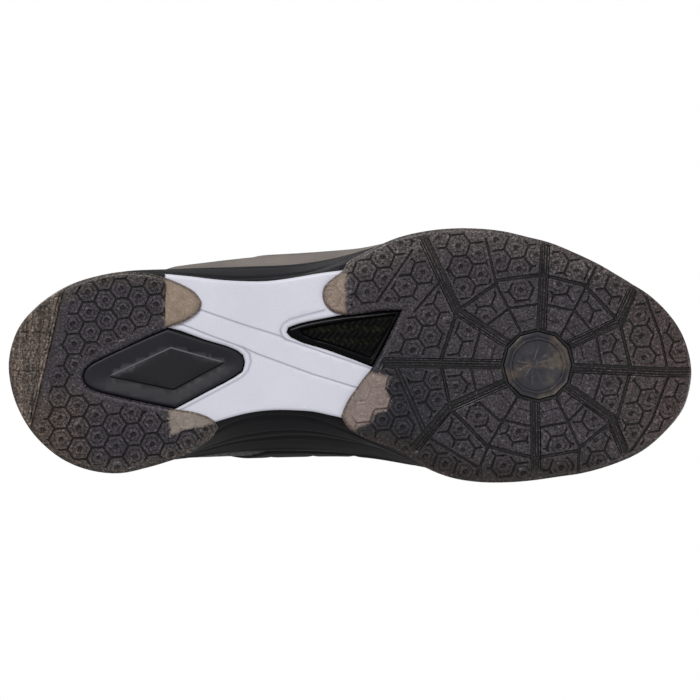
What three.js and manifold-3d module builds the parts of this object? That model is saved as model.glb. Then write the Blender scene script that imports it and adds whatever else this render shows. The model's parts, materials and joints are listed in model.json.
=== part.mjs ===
// Right-foot badminton court shoe, standing on its outsole.
// Millimetres, +Z up, +X towards the toe, +Y towards the medial (big toe) side.
import * as THREE from "three";
import { mergeVertices } from "three/addons/utils/BufferGeometryUtils.js";
import Module from "manifold-3d";

const wasm = await Module();
wasm.setup();

// ---------------------------------------------------------------- driving dimensions
const GAP = 0.3; // clearance kept between touching pieces
const RUBBER = 4.6; // outsole rubber, tread included
const RUBBER_OVER_PLATE = 2.0; // rubber fingers where they lap the shank plate
const PLATE_LOW = 2.3; // underside of the shank plate above the tread face
const MIDSOLE_LOW = 4.9; // underside of the midsole above the tread face
const HUB = { x: 81.4, y: 4.3, r: 14.3 }; // pivot point disc under the ball of the foot
const TEXTILE = 1.8; // outer textile of vamp and quarters
const FILM = 1.0; // overlays stand this far off the textile
const LINING = 1.3;
const CUP = 0.25; // share of the surface parameter that runs down inside the midsole cup
const LACE_R = 1.3;
const EYELET_R = 3;
const EYELET_W = 0.9;
const EYELET_T = [3.4, 4.75, 5.85, 6.85, 7.7, 8.4];
const OFFSET = [-0.2, 0.13, 0]; // puts the bounding box's bottom centre at the origin

// ---------------------------------------------------------------- plan of the sole, underside outlines
const HEEL_POD = [[-92.8, -36.1], [-97.9, -36.4], [-108.7, -34.7], [-119.5, -31.5], [-128.1, -27.1], [-136, -21.3], [-143.2, -13.4], [-146.8, -5.5], [-148.4, 3.1], [-147.5, 12.5], [-144.6, 21.8], [-138.9, 31.9], [-131.7, 39.8], [-123.1, 45.9], [-112.3, 49.9], [-100, 51.1], [-87.1, 48.4], [-79.9, 46.3], [-72.7, 43.8], [-65.5, 39.8], [-59.6, 35.2], [-57.3, 31.1], [-59, 28.3], [-64.1, 25.6], [-69.1, 24.3], [-75.6, 23.3], [-87.1, 20.9], [-101.5, 17.7], [-110.8, 15.2], [-114.8, 12.7], [-116.1, 9.6], [-115.7, 7.2], [-113.7, 4.4], [-108.7, 1.5], [-97.9, -3.6], [-87.1, -8.6], [-78.4, -12.4], [-74.1, -13.8], [-69.1, -16.3], [-65.2, -19.9], [-64.4, -23.5], [-66.9, -27.1], [-72.7, -30.7], [-79.9, -33.6], [-87.2, -35.6]];
const FORE_POD = [[-2.9, -37.2], [-1.3, -40.1], [6.2, -44.6], [13.8, -48.4], [21.2, -51.3], [32.4, -53.9], [43.6, -55.1], [54.7, -55.1], [65.9, -54], [77.2, -51.4], [86.3, -49.1], [97.5, -44.6], [108.7, -39.3], [119.9, -32.6], [129.6, -26.7], [137.8, -19.2], [143.8, -11], [147.2, -2.7], [148.8, 6.3], [147.9, 15], [144.9, 23.6], [137.1, 33.2], [127.4, 41.3], [116.2, 46.6], [101.2, 51], [91.1, 52.5], [77.2, 54.4], [65.9, 55.1], [54.8, 54.8], [43.6, 52.9], [33.1, 48.8], [24.9, 43.6], [17.5, 39.8], [6.2, 35.7], [-1.2, 30.9], [-3.8, 26.4], [-1.8, 21], [2.5, 14.5], [6.1, 9.6], [9.9, 4.8], [22.5, -19.8], [12.6, -19.4], [5.4, -18.3], [-1.8, -17.6], [-6.9, -18.7], [-10.4, -21.5], [-12, -25.7], [-11.1, -30], [-7.5, -33.6]];
const PLATE = [[-80.3, -35.4], [-69.1, -34.3], [-58.3, -33], [-47.7, -32.3], [-36, -32.3], [-25, -33.7], [-12, -35.9], [-1, -37.2], [0.5, -30], [0.5, -18.5], [-10, -16.4], [-22, -13.9], [-26.8, -12.2], [-27.6, -10], [-25.6, -7.8], [-10, -2.4], [9.2, 4.9], [16, 8], [15, 19], [9, 25], [3, 29], [-3.6, 27], [-9, 25.8], [-16.2, 24.3], [-23.4, 23.8], [-30.6, 23.6], [-37.8, 24], [-45, 25.1], [-52.1, 26.9], [-59, 29], [-66, 31.3], [-78, 34], [-78.5, 24.6], [-63, 16.3], [-50.2, 9.5], [-46.6, 7], [-45.6, 3.1], [-46.4, -0.2], [-49.3, -2.4], [-63, -6.9], [-79, -12.2], [-80.3, -12.2]];
const DIAMOND = [[-115.7, 9.6], [-115.3, 7.4], [-113.5, 4.8], [-108.6, 1.9], [-97.9, -3.2], [-87.1, -8.1], [-79.2, -11.4], [-63, -6.2], [-49.6, -1.8], [-47.1, 0.3], [-46.3, 3.1], [-47.2, 6.5], [-50.6, 8.9], [-63, 15.6], [-75.7, 22.5], [-87.1, 20.4], [-101.5, 17.2], [-110.7, 14.8], [-114.5, 12.4]];
const DIAMOND_FLOOR = [[-104.8, 9.1], [-77.7, -3.4], [-54.5, 3.1], [-76.6, 15]];
const WINDOW = [[-26.6, -11.6], [-22, -13.3], [-10, -15.8], [5.4, -17.8], [22, -19.3], [9.6, 4.3], [-10, -2.9], [-24.6, -8.2], [-26.9, -9.8]];
const CARBON = [[-21, -10.9], [-8, -13.6], [19.4, -17.4], [8.8, 0.4], [-9, -6], [-20, -9.6]];

// ---------------------------------------------------------------- heights
const table = (rows) => (x) => {
  if (x <= rows[0][0]) return rows[0][1];
  for (let i = 1; i < rows.length; i++)
    if (x <= rows[i][0]) {
      const [a, za] = rows[i - 1], [b, zb] = rows[i];
      const m = (j) => {
        const p = rows[Math.max(0, j - 1)], q = rows[Math.min(rows.length - 1, j + 1)];
        return (q[1] - p[1]) / (q[0] - p[0]);
      };
      const h = b - a, s = (x - a) / h, s2 = s * s, s3 = s2 * s;
      return (2 * s3 - 3 * s2 + 1) * za + (s3 - 2 * s2 + s) * h * m(i - 1) + (3 * s2 - 2 * s3) * zb + (s3 - s2) * h * m(i);
    }
  return rows[rows.length - 1][1];
};
// tread face: flat under heel and ball, bevelled heel strike, raised waist, toe spring
const tread = (x, y) => {
  let z = 0;
  const d = (x + 129.6) * -0.973 + (y + 2.6) * -0.23;
  if (d > 0) z += 0.2 * d + 0.009 * d * d;
  if (x > -66 && x < 8) z += 2.2 * Math.sin((Math.PI * (x + 66)) / 74) ** 2;
  if (x > 74) z += 11.5 * ((x - 74) / 75) ** 1.9;
  return z;
};
const rim = table([[-150, 33], [-120, 32], [-90, 30.5], [-60, 28.5], [-30, 26], [0, 23.5], [30, 21.5], [60, 20.5], [90, 21], [115, 23.5], [135, 27.5], [150, 31]]);
const footbed = table([[-150, 21.5], [-120, 20], [-90, 19.5], [-60, 18.5], [-30, 16.5], [0, 13.5], [30, 11.5], [60, 10.8], [90, 11.8], [115, 15], [135, 19.5], [150, 23]]);

// ---------------------------------------------------------------- contour loops
// Rows run from the toe tip (0) to the back of the heel (14); a loop goes back along the medial side.
const loop = (lateral, medial) => [...lateral, ...medial.slice().reverse()];
const at = (rows, t) => {
  const n = rows.length, u = ((t % n) + n) % n, i = Math.floor(u), f = u - i;
  const p = [-1, 0, 1, 2].map((k) => rows[(i + k + n) % n]);
  return rows[0].map((_, c) => {
    const [a, b, d, e] = p.map((r) => r[c]);
    return b + 0.5 * f * (d - a + f * (2 * a - 5 * b + 4 * d - e + f * (3 * (b - d) + e - a)));
  });
};
// underside edge of the midsole
const LOW = loop(
  [[147.6, 7], [143, -10.5], [129, -26], [108.2, -38.5], [86, -48.2], [62, -53.7], [36, -53.6], [10, -45.6], [-18, -34.3], [-48, -31.8], [-77, -34.6], [-100, -35.6], [-122, -29.6], [-141, -15], [-147.5, 5]],
  [[143.7, 23.6], [130.4, 37.8], [109.6, 47.8], [87.8, 52.2], [62, 54.2], [38.4, 50], [13, 37], [-18, 23.9], [-48, 25.6], [-74, 41.5], [-100, 50.2], [-122.5, 45.2], [-139.5, 29.4]],
);
// top edge of the midsole wall
const RIM = loop(
  [[146.3, 7], [141.3, -11], [127, -26.8], [107, -39], [85, -48.4], [60, -53], [34, -53], [8, -45.8], [-20, -40.6], [-48, -39.2], [-75, -38], [-100, -35.3], [-121, -27.8], [-138.5, -13], [-145.5, 7]],
  [[142.3, 24], [129, 38.3], [109, 47.6], [87, 51.6], [61, 53], [37, 49], [10, 39.8], [-20, 35.4], [-48, 37.8], [-75, 44.4], [-100, 48], [-122, 42.3], [-138.5, 27]],
);
// bite line, where the upper leaves the midsole cup: [x, y]
const BITE = loop(
  [[143, 7], [138.2, -9.6], [124.4, -24.4], [105, -36.1], [83.6, -45.4], [59.5, -50], [33.4, -50], [7, -42.8], [-20.6, -37.8], [-48.2, -36.4], [-74.7, -35.2], [-99.3, -32.5], [-119.3, -25.6], [-135.9, -11.6], [-142.4, 7]],
  [[139.2, 22.8], [126.5, 36], [107.3, 44.8], [86, 48.7], [60.4, 50], [35.8, 46], [8.8, 37], [-20.4, 32.6], [-48.3, 35], [-75, 41.6], [-99.5, 45.1], [-120.3, 40.1], [-136, 25.4]],
);
// top line: throat, eyestay edges and collar
const TOP = loop(
  [[46, 3, 69], [45, -1.5, 69], [42, -5, 70], [36, -8, 72.5], [27.5, -10.3, 76], [17, -12, 80.3], [5, -13.5, 85.5], [-8, -15, 91], [-24, -16.8, 97.3], [-44, -22, 98], [-72, -28.5, 84], [-98, -28.5, 77], [-120, -22, 83], [-135, -7.8, 93], [-138.5, 7.3, 98]],
  [[45, 7, 69], [42, 10.5, 70], [36, 13.6, 72.5], [27.5, 16.6, 76.5], [17, 19.5, 81], [5, 22, 86.3], [-8, 24.5, 92], [-24, 27.3, 98.3], [-44, 34, 99], [-72, 41, 86], [-98, 42.5, 80], [-120, 36.8, 85], [-135, 22.3, 93.5]],
);
// handle at the bite line
const RISE = loop(
  [[5, 0, 19], [4, -1.5, 19], [3, -4, 20], [1, -6, 21], [0, -7, 22], [-1, -6.5, 23], [-2, -6, 24], [-2, -10, 23], [-1, -15, 20], [0, -12, 20], [1, -8, 20], [0, -4, 18], [-2, -2.5, 18], [-4, -1, 20], [-4.5, 0, 20]],
  [[4, 1.5, 19], [3, 3.5, 20], [1, 5, 21], [0, 6, 22], [-1, 5.5, 23], [-2, 6.5, 24], [-2, 12, 22], [-1, 16, 20], [0, 13, 20], [1, 6, 20], [0, 3.5, 18], [-2, 2.5, 18], [-4, 1, 20]],
);
// handle at the top line
const FALL = loop(
  [[48, 1, -1], [44, -6, -2], [36, -14, -3], [27, -20, -5], [18, -23, -8], [12, -24, -11], [7, -22, -14], [4, -23, -18], [2, -22, -22], [-1, -20, -24], [0, -8, -20], [0, -3, -18], [-2, -3, -20], [-5, -1, -22], [-7, 0, -24]],
  [[44, 8, -2], [36, 16, -3], [27, 21, -5], [18, 22, -8], [12, 21, -11], [7, 20, -14], [4, 21, -18], [2, 21, -22], [-1, 14, -24], [0, 5, -20], [0, 3, -18], [-2, 3, -20], [-5, 1, -22]],
);
const N = 28;

const V = (a) => new THREE.Vector3(...a);
const outward = (rows, t) => {
  const a = at(rows, t - 0.05), b = at(rows, t + 0.05);
  const dx = b[0] - a[0], dy = b[1] - a[1], l = Math.hypot(dx, dy);
  return [-dy / l, dx / l];
};
// Outer face of the upper. t goes round the shoe, w from the bite line (0) to the top line (1); below 0 it runs down into the cup.
const surface = (t, w) => {
  const f = at(BITE, t), p0 = V([f[0], f[1], rim(f[0]) + GAP]);
  const p3 = V(at(TOP, t)), p1 = p0.clone().add(V(at(RISE, t))), p2 = p3.clone().add(V(at(FALL, t)));
  if (w < 0) {
    const n = outward(BITE, t), s = -w / CUP;
    const g = V([f[0] - 3 * n[0], f[1] - 3 * n[1], footbed(f[0] - 3 * n[0]) + GAP]);
    return p0.lerp(g, s);
  }
  const c = 1 - w;
  return p0.multiplyScalar(c * c * c).addScaledVector(p1, 3 * c * c * w).addScaledVector(p2, 3 * c * w * w).addScaledVector(p3, w * w * w);
};
const normal = (t, w) => {
  const e = 1e-2, dt = surface(t + e, w).sub(surface(t - e, w));
  const dw = surface(t, Math.min(1, w + e)).sub(surface(t, Math.max(w < 0 ? -CUP : 0, w - e)));
  return dw.cross(dt).normalize();
};
const off = (t, w, d) => surface(t, w).addScaledVector(normal(t, w), d);

// ---------------------------------------------------------------- solids
const closed = (points, faces) => {
  const g = new THREE.BufferGeometry();
  const pos = new Float32Array(faces.length * 9);
  faces.forEach((f, i) => f.forEach((v, k) => pos.set(points[v], i * 9 + k * 3)));
  g.setAttribute("position", new THREE.BufferAttribute(pos, 3));
  return g;
};
const toSolid = (geometry) => {
  const g = geometry.index ? geometry.toNonIndexed() : geometry.clone();
  for (const k of Object.keys(g.attributes)) if (k !== "position") g.deleteAttribute(k);
  const m = mergeVertices(g, 1e-3), p = m.attributes.position.array, idx = [];
  for (let i = 0; i < m.index.count; i += 3) {
    const [a, b, c] = [m.index.array[i], m.index.array[i + 1], m.index.array[i + 2]];
    if (a !== b && b !== c && a !== c) idx.push(a, b, c);
  }
  let vol = 0;
  for (let i = 0; i < idx.length; i += 3) {
    const [a, b, c] = [0, 1, 2].map((k) => new THREE.Vector3().fromArray(p, idx[i + k] * 3));
    vol += a.dot(b.cross(c));
  }
  if (vol < 0) for (let i = 0; i < idx.length; i += 3) [idx[i + 1], idx[i + 2]] = [idx[i + 2], idx[i + 1]];
  return new wasm.Manifold(new wasm.Mesh({ numProp: 3, vertProperties: new Float32Array(p), triVerts: new Uint32Array(idx) }));
};
const toGeometry = (solid) => {
  const m = solid.getMesh(), g = new THREE.BufferGeometry(), v = new Float32Array(m.numVert * 3);
  for (let i = 0; i < m.numVert; i++) v.set(m.vertProperties.subarray(i * m.numProp, i * m.numProp + 3), i * 3);
  g.setAttribute("position", new THREE.BufferAttribute(v, 3));
  g.setIndex(new THREE.BufferAttribute(new Uint32Array(m.triVerts), 1));
  const flat = g.toNonIndexed();
  flat.computeVertexNormals();
  return flat;
};
// a solid between two grids of points: grid[i][j] in a and b, optionally closed round in i
const slab = (a, b, round = false) => {
  const pts = [], faces = [], n = a.length, m = a[0].length;
  const id = (k, i, j) => k * n * m + (i % n) * m + j;
  for (const g of [a, b]) for (const row of g) for (const p of row) pts.push([p.x, p.y, p.z]);
  const quad = (p, q, r, s) => faces.push([p, q, r], [p, r, s]);
  const last = round ? n : n - 1;
  for (let i = 0; i < last; i++) {
    for (let j = 0; j < m - 1; j++) {
      quad(id(0, i, j), id(0, i + 1, j), id(0, i + 1, j + 1), id(0, i, j + 1));
      quad(id(1, i, j), id(1, i, j + 1), id(1, i + 1, j + 1), id(1, i + 1, j));
    }
    quad(id(0, i, 0), id(1, i, 0), id(1, i + 1, 0), id(0, i + 1, 0));
    quad(id(0, i, m - 1), id(0, i + 1, m - 1), id(1, i + 1, m - 1), id(1, i, m - 1));
  }
  if (!round)
    for (let j = 0; j < m - 1; j++) {
      quad(id(0, 0, j), id(0, 0, j + 1), id(1, 0, j + 1), id(1, 0, j));
      quad(id(0, n - 1, j), id(1, n - 1, j), id(1, n - 1, j + 1), id(0, n - 1, j + 1));
    }
  return toSolid(closed(pts, faces));
};
const steps = (a, b, n) => Array.from({ length: n + 1 }, (_, i) => a + ((b - a) * i) / n);
const num = (f, t, w) => (typeof f === "function" ? f(t, w) : f);
// a piece of the upper between two depths of its outer face
const panel = (ts, ws, outer, inner, round = false) =>
  slab(
    ts.map((t) => ws.map((w) => off(t, w, num(outer, t, w)))),
    ts.map((t) => ws.map((w) => off(t, w, num(inner, t, w)))),
    round,
  );
const prism = (outline, low = -20, high = 60) => {
  const g = new THREE.ExtrudeGeometry(new THREE.Shape(outline.map(([x, y]) => new THREE.Vector2(x, y))), { depth: high - low, bevelEnabled: false, steps: 1 });
  g.translate(0, 0, low);
  return toSolid(g);
};
const grow = (outline, d) => {
  const n = outline.length;
  const area = outline.reduce((s, p, i) => s + p[0] * outline[(i + 1) % n][1] - outline[(i + 1) % n][0] * p[1], 0);
  const sign = area > 0 ? 1 : -1;
  return outline.map((p, i) => {
    const a = outline[(i - 1 + n) % n], b = outline[(i + 1) % n];
    const n1 = [p[1] - a[1], a[0] - p[0]], n2 = [b[1] - p[1], p[0] - b[0]];
    const l1 = Math.hypot(...n1), l2 = Math.hypot(...n2);
    const m = [n1[0] / l1 + n2[0] / l2, n1[1] / l1 + n2[1] / l2], l = Math.hypot(...m);
    const k = (sign * d) / Math.max(0.5, l / 2) / l;
    return [p[0] + m[0] * k, p[1] + m[1] * k];
  });
};
const circle = (x, y, r, n = 24) => Array.from({ length: n }, (_, i) => [x + r * Math.cos((2 * Math.PI * i) / n), y + r * Math.sin((2 * Math.PI * i) / n)]);
// a sheet that follows the tread face, between two heights above it
const GRID_X = [-154, -149, -144, -139, -134, -129, -124, -118, -100, -70, -60, -50, -40, -29, -18, -8, 2, 12, 40, 74, 82, 90, 98, 106, 114, 122, 130, 138, 146, 154];
const GRID_Y = [-60, -40, -20, 0, 20, 40, 60];
const layer = (low, high) => {
  const g = (h) => GRID_X.map((x) => GRID_Y.map((y) => new THREE.Vector3(x, y, tread(x, y) + h)));
  return slab(g(low), g(high));
};

// ---------------------------------------------------------------- outsole
const rubberLayer = layer(0, RUBBER);
const plateRoom = prism(grow(PLATE, GAP)).intersect(layer(RUBBER_OVER_PLATE, 12));
const outsoleHeel = rubberLayer.intersect(prism(HEEL_POD)).subtract(plateRoom);
const outsoleForefoot = rubberLayer.intersect(prism(FORE_POD)).subtract(plateRoom).subtract(prism(circle(HUB.x, HUB.y, HUB.r + GAP))).subtract(prism(grow(WINDOW, GAP)));
const pivotDisc = layer(0.6, RUBBER).intersect(prism(circle(HUB.x, HUB.y, HUB.r)));
const shankPlate = layer(PLATE_LOW, RUBBER).intersect(prism(PLATE));
const frustum = (low, high, zl, zh) => {
  const n = low.length, pts = [...low.map(([x, y]) => [x, y, zl]), ...high.map(([x, y]) => [x, y, zh])], faces = [];
  for (let i = 0; i < n; i++) {
    const j = (i + 1) % n;
    faces.push([i, j, n + j], [i, n + j, n + i]);
  }
  for (let i = 1; i < n - 1; i++) faces.push([0, i + 1, i], [n, n + i, n + i + 1]);
  return toSolid(closed(pts, faces));
};
const heelInsert = layer(1.2, RUBBER).intersect(prism(DIAMOND)).subtract(frustum(grow(DIAMOND_FLOOR, 5.2), DIAMOND_FLOOR, 0.4, 2.6)).add(layer(1.9, 3.4).intersect(prism(DIAMOND_FLOOR)));
const windowFrame = layer(1.6, RUBBER).intersect(prism(WINDOW)).subtract(prism(grow(CARBON, GAP)));
const carbonPlate = layer(3.4, RUBBER).intersect(prism(CARBON));

// ---------------------------------------------------------------- midsole
const SUB = 2;
const sections = steps(0, 14 * SUB, 14 * SUB).map((i) => i / SUB);
const pair = (rows, s) => [at(rows, s), at(rows, N - s)];
const ringBody = (make, at = sections) => {
  // make(s) gives the closed ring of points of section s, lateral first
  const rings = at.map(make), m = rings[0].length, pts = rings.flat().map((p) => [p.x, p.y, p.z]), faces = [];
  for (let i = 0; i < rings.length - 1; i++)
    for (let j = 0; j < m; j++) {
      const a = i * m + j, b = i * m + ((j + 1) % m), c = a + m, d = b + m;
      faces.push([a, b, d], [a, d, c]);
    }
  return toSolid(closed(pts, faces));
};
const mix = (a, b, s) => a + (b - a) * s;
const side = (rows, t, d) => {
  const p = at(rows, t), n = outward(BITE, t);
  return [p[0] + n[0] * d, p[1] + n[1] * d];
};
const midsoleBlank = ringBody((s) => {
  const P = (xy, z) => new THREE.Vector3(xy[0], xy[1], z);
  const half = (t) => {
    const low = at(LOW, t), top = at(RIM, t), out = outward(RIM, t);
    const zl = tread(low[0], low[1]) + MIDSOLE_LOW - 2.5, zt = rim(top[0]);
    const wall = [0.35, 0.7].map((k) => P([mix(low[0], top[0], k) + out[0] * 1.2, mix(low[1], top[1], k) + out[1] * 1.2], mix(zl, zt, k)));
    const bite = side(BITE, t, 0.35), cup = side(BITE, t, -2.6);
    return [P(low, zl), ...wall, P(top, zt), P(bite, rim(bite[0])), P(cup, footbed(cup[0]))];
  };
  const l = half(s), m = half(N - s);
  const bottom = [0.25, 0.5, 0.75].map((k) => {
    const p = m[0].clone().lerp(l[0], k);
    p.z = tread(p.x, p.y) + MIDSOLE_LOW - 2.5;
    return p;
  });
  return [...l, ...m.reverse(), ...bottom];
});
const heelPad = [[-128, 7], [-122, -7], [-106, -14], [-82, -14], [-72, -6], [-72, 18], [-82, 27], [-106, 28.5], [-122, 21]];
const forePad = [[34, -22], [56, -33], [84, -31], [103, -20], [108, 4], [103, 27], [86, 36], [60, 37], [38, 28], [30, 3]];
const padRoom = (outline, depth) => {
  const top = (x) => footbed(x);
  const g = (f) => steps(-140, 120, 26).map((x) => [-60, 60].map((y) => new THREE.Vector3(x, y, f(x))));
  return { room: slab(g((x) => top(x) - depth - GAP), g(() => 60)).intersect(prism(grow(outline, GAP))), pad: slab(g((x) => top(x) - depth), g((x) => top(x) - 0.2)).intersect(prism(outline)) };
};
const heelCushion = padRoom(heelPad, 8);
const foreCushion = padRoom(forePad, 3);
const midsole = midsoleBlank.subtract(layer(-20, MIDSOLE_LOW)).subtract(heelCushion.room).subtract(foreCushion.room);

// ---------------------------------------------------------------- lasting board and sockliner
const plate2 = (inset, low, high) =>
  ringBody((s) => {
    const half = (t) => side(BITE, t, -3 - inset);
    const l = half(s), m = half(N - s);
    const tip = s === 0 || s === 14;
    const row = (f, order) => order.map((k) => new THREE.Vector3(mix(l[0], m[0], k), mix(l[1], m[1], k), f(mix(l[0], m[0], k), tip ? 0 : k)));
    return [...row((x, k) => footbed(x) + low(x, k), [0, 0.12, 0.5, 0.88, 1]), ...row((x, k) => footbed(x) + high(x, k), [1, 0.88, 0.5, 0.12, 0])];
  });
const strobelBoard = plate2(4.6, () => GAP, () => 1.7);
const cupRise = (x, k) => (k < 0.1 || k > 0.9 ? 7 * Math.min(1, Math.max(0, (-20 - x) / 60)) : 0);
const sockliner = plate2(6.6, () => 2.1, (x, k) => 6.3 + cupRise(x, k));

// ---------------------------------------------------------------- upper
const ROWS = [-0.24, 0.015, 0.15, 0.32, 0.5, 0.68, 0.84, 0.94, 1];
const between = (a, b) => ROWS.filter((w) => w > a + 0.02 && w < b - 0.02);
const rowsOf = (a, b) => [a, ...between(a, b), b];
const arc = (a, b) => {
  const inner = [];
  for (let k = Math.ceil(a * SUB + 0.1); k < b * SUB - 0.1; k++) inner.push(k / SUB);
  return [a, ...inner, b];
};
const SEAM = 5.5, CLEAR = 0.012;
const smooth = (a, b, x) => {
  const s = Math.min(1, Math.max(0, (x - a) / (b - a)));
  return s * s * (3 - 2 * s);
};
const folded = (t) => Math.min(((t % N) + N) % N, N - (((t % N) + N) % N)); // station counted from the toe on either side
const eyeletCutters = (r) => [...EYELET_T, ...EYELET_T.map((t) => N - t)].map((t) => {
  const p = off(t, EYELET_W, -1), n = normal(t, EYELET_W);
  const g = new THREE.CylinderGeometry(r, r, 16, 6);
  g.applyQuaternion(new THREE.Quaternion().setFromUnitVectors(new THREE.Vector3(0, 1, 0), n));
  g.translate(p.x, p.y, p.z);
  return toSolid(g);
});
const holes = eyeletCutters(EYELET_R), wideHoles = eyeletCutters(EYELET_R + 0.9);
const punched = (solid, cutters = holes) => cutters.reduce((s, e) => s.subtract(e), solid);

const vamp = punched(panel(arc(-SEAM + CLEAR, SEAM - CLEAR), rowsOf(-0.24, 1), 0, -TEXTILE));
const quarterLateral = punched(panel(arc(SEAM + CLEAR, 14 - CLEAR), rowsOf(-0.24, 1), 0, -TEXTILE));
const quarterMedial = punched(panel(arc(14 + CLEAR, N - SEAM - CLEAR), rowsOf(-0.24, 1), 0, -TEXTILE));
const toePuff = panel(arc(-2.5, 2.5), rowsOf(-0.24, 0.5), -2.1, -3.4);
const heelCounter = panel(arc(10.5, 17.5), rowsOf(-0.24, 0.5), -2.1, -3.6);
const puffed = (t, w) => 1.6 * (1 - smooth(2.5, 3.5, folded(t))) * (1 - smooth(0.51, 0.68, w));
const vampLining = punched(panel(arc(-9 + CLEAR, 9 - CLEAR), rowsOf(-0.24, 0.985), (t, w) => -2.1 - puffed(t, w), (t, w) => -2.1 - LINING - puffed(t, w)), wideHoles);
const foamIn = (t, w) => 3.7 + 3.2 * smooth(0.52, 0.84, w) * smooth(9.1, 10.3, folded(t));
const collarFoam = panel(arc(9.5, 18.5), rowsOf(0.56, 0.94), -2.1, (t, w) => -foamIn(t, w));
const heelLining = panel(arc(9 + CLEAR, N - 9 - CLEAR), rowsOf(-0.24, 0.985), (t, w) => -foamIn(t, w) - GAP, (t, w) => -foamIn(t, w) - GAP - LINING);

const film = (ts, ws) => panel(ts, ws, GAP + FILM, GAP);
const eyestay = punched(film(arc(-9, 9), [0.77, 0.84, 0.94, 0.995]));
const toeGuard = film(arc(-4, 2.5), [0.02, 0.15, 0.28]);
const heelClip = film(arc(10.5, 17.5), [0.02, 0.15, 0.32, 0.45]);
const sideBandLateral = film(arc(4.5, 10.48), [0.02, 0.15, 0.24]);
const sideBandMedial = film(arc(17.52, 23), [0.02, 0.15, 0.24]);
const quarterWingLateral = film(arc(6, 9.5), [0.27, 0.32, 0.5, 0.68, 0.745]);
const quarterWingMedial = film(arc(18.5, 22), [0.27, 0.32, 0.5, 0.68, 0.745]);
const heelTab = film(arc(13.5, 14.5), [0.48, 0.5, 0.68, 0.84, 0.94, 0.98]);

// ---------------------------------------------------------------- tongue
const T_LINE = [[58, 3.3, 59.6], [46, 3.4, 63], [36, 3.6, 67], [22, 4, 73.8], [5, 4.8, 82], [-10, 5.3, 89.4], [-26, 6, 97.3], [-40, 7, 106], [-50, 7.6, 115.5], [-56, 8, 124], [-59, 8, 129]];
const T_HALF = [11, 13, 15, 17.5, 19, 19.3, 19.6, 20.5, 22, 23, 19];
const T_THICK = [3, 3, 3, 3, 3, 3.4, 4.5, 6, 7, 6.5, 3.5];
const HINGE = 6.72; // place along the tongue's line where its free end begins to fold
const line = (rows, s) => {
  const n = rows.length - 1, i = Math.min(n - 1, Math.max(0, Math.floor(s))), f = s - i;
  const g = (k) => rows[Math.min(n, Math.max(0, k))];
  const [a, b, d, e] = [g(i - 1), g(i), g(i + 1), g(i + 2)];
  const c = (a, b, d, e) => b + 0.5 * f * (d - a + f * (2 * a - 5 * b + 4 * d - e + f * (3 * (b - d) + e - a)));
  return Array.isArray(a) ? a.map((_, k) => c(a[k], b[k], d[k], e[k])) : c(a, b, d, e);
};
const tonguePoint = (s, v, depth, lean = 0) => {
  const p = line(T_LINE, s), q = line(T_LINE, Math.min(10, s + 0.05)), r = line(T_LINE, Math.max(0, s - 0.05));
  const dir = new THREE.Vector3(q[0] - r[0], 0, q[2] - r[2]).normalize(), up = new THREE.Vector3(-dir.z, 0, dir.x).multiplyScalar(-1);
  if (up.z < 0) up.multiplyScalar(-1);
  const y = v * line(T_HALF, s), drop = 0.0156 * y * y + depth;
  // the section stands square to the line, and a lean opens a wedge below the hinge
  return new THREE.Vector3(p[0], p[1] + y, p[2]).addScaledVector(up, -drop).addScaledVector(dir, lean * drop);
};
const ACROSS = [-1, -0.6, -0.2, 0.2, 0.6, 1];
const tonguePiece = (ss, leans) =>
  slab(
    ss.map((s, i) => ACROSS.map((v) => tonguePoint(s, v, 0, leans[i]))),
    ss.map((s, i) => ACROSS.map((v) => tonguePoint(s, v, line(T_THICK, s), leans[i]))),
  );
const sLow = [0, 1, 2, 3, 4, 5, 6, HINGE - 0.02], sHigh = [HINGE + 0.02, 7.3, 8, 8.7, 9.4, 10];
const tongue = tonguePiece(sLow, sLow.map(() => 0));
const tonguePad = tonguePiece(sHigh, sHigh.map((s, i) => [0.16, 0.05, 0, 0, 0, 0][i]));
// height of the tongue's face above a point of the plan
const tongueTop = (x, y) => {
  let best = null;
  for (let k = 0; k <= 200; k++) {
    const c = line(T_LINE, k / 20), v = Math.min(1, Math.max(-1, (y - c[1]) / line(T_HALF, k / 20)));
    const q = tonguePoint(k / 20, v, 0), d = Math.abs(q.x - x);
    if (!best || d < best[0]) best = [d, q.z];
  }
  return best[1];
};

// ---------------------------------------------------------------- lace
const eyeL = (k) => EYELET_T[k], eyeM = (k) => N - EYELET_T[k];
const onTongue = (p, lift) => {
  const floor = tongueTop(p.x, p.y) + lift;
  if (p.z < floor) p.z = floor;
  return p;
};
const LIFT = LACE_R + 0.75;
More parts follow.
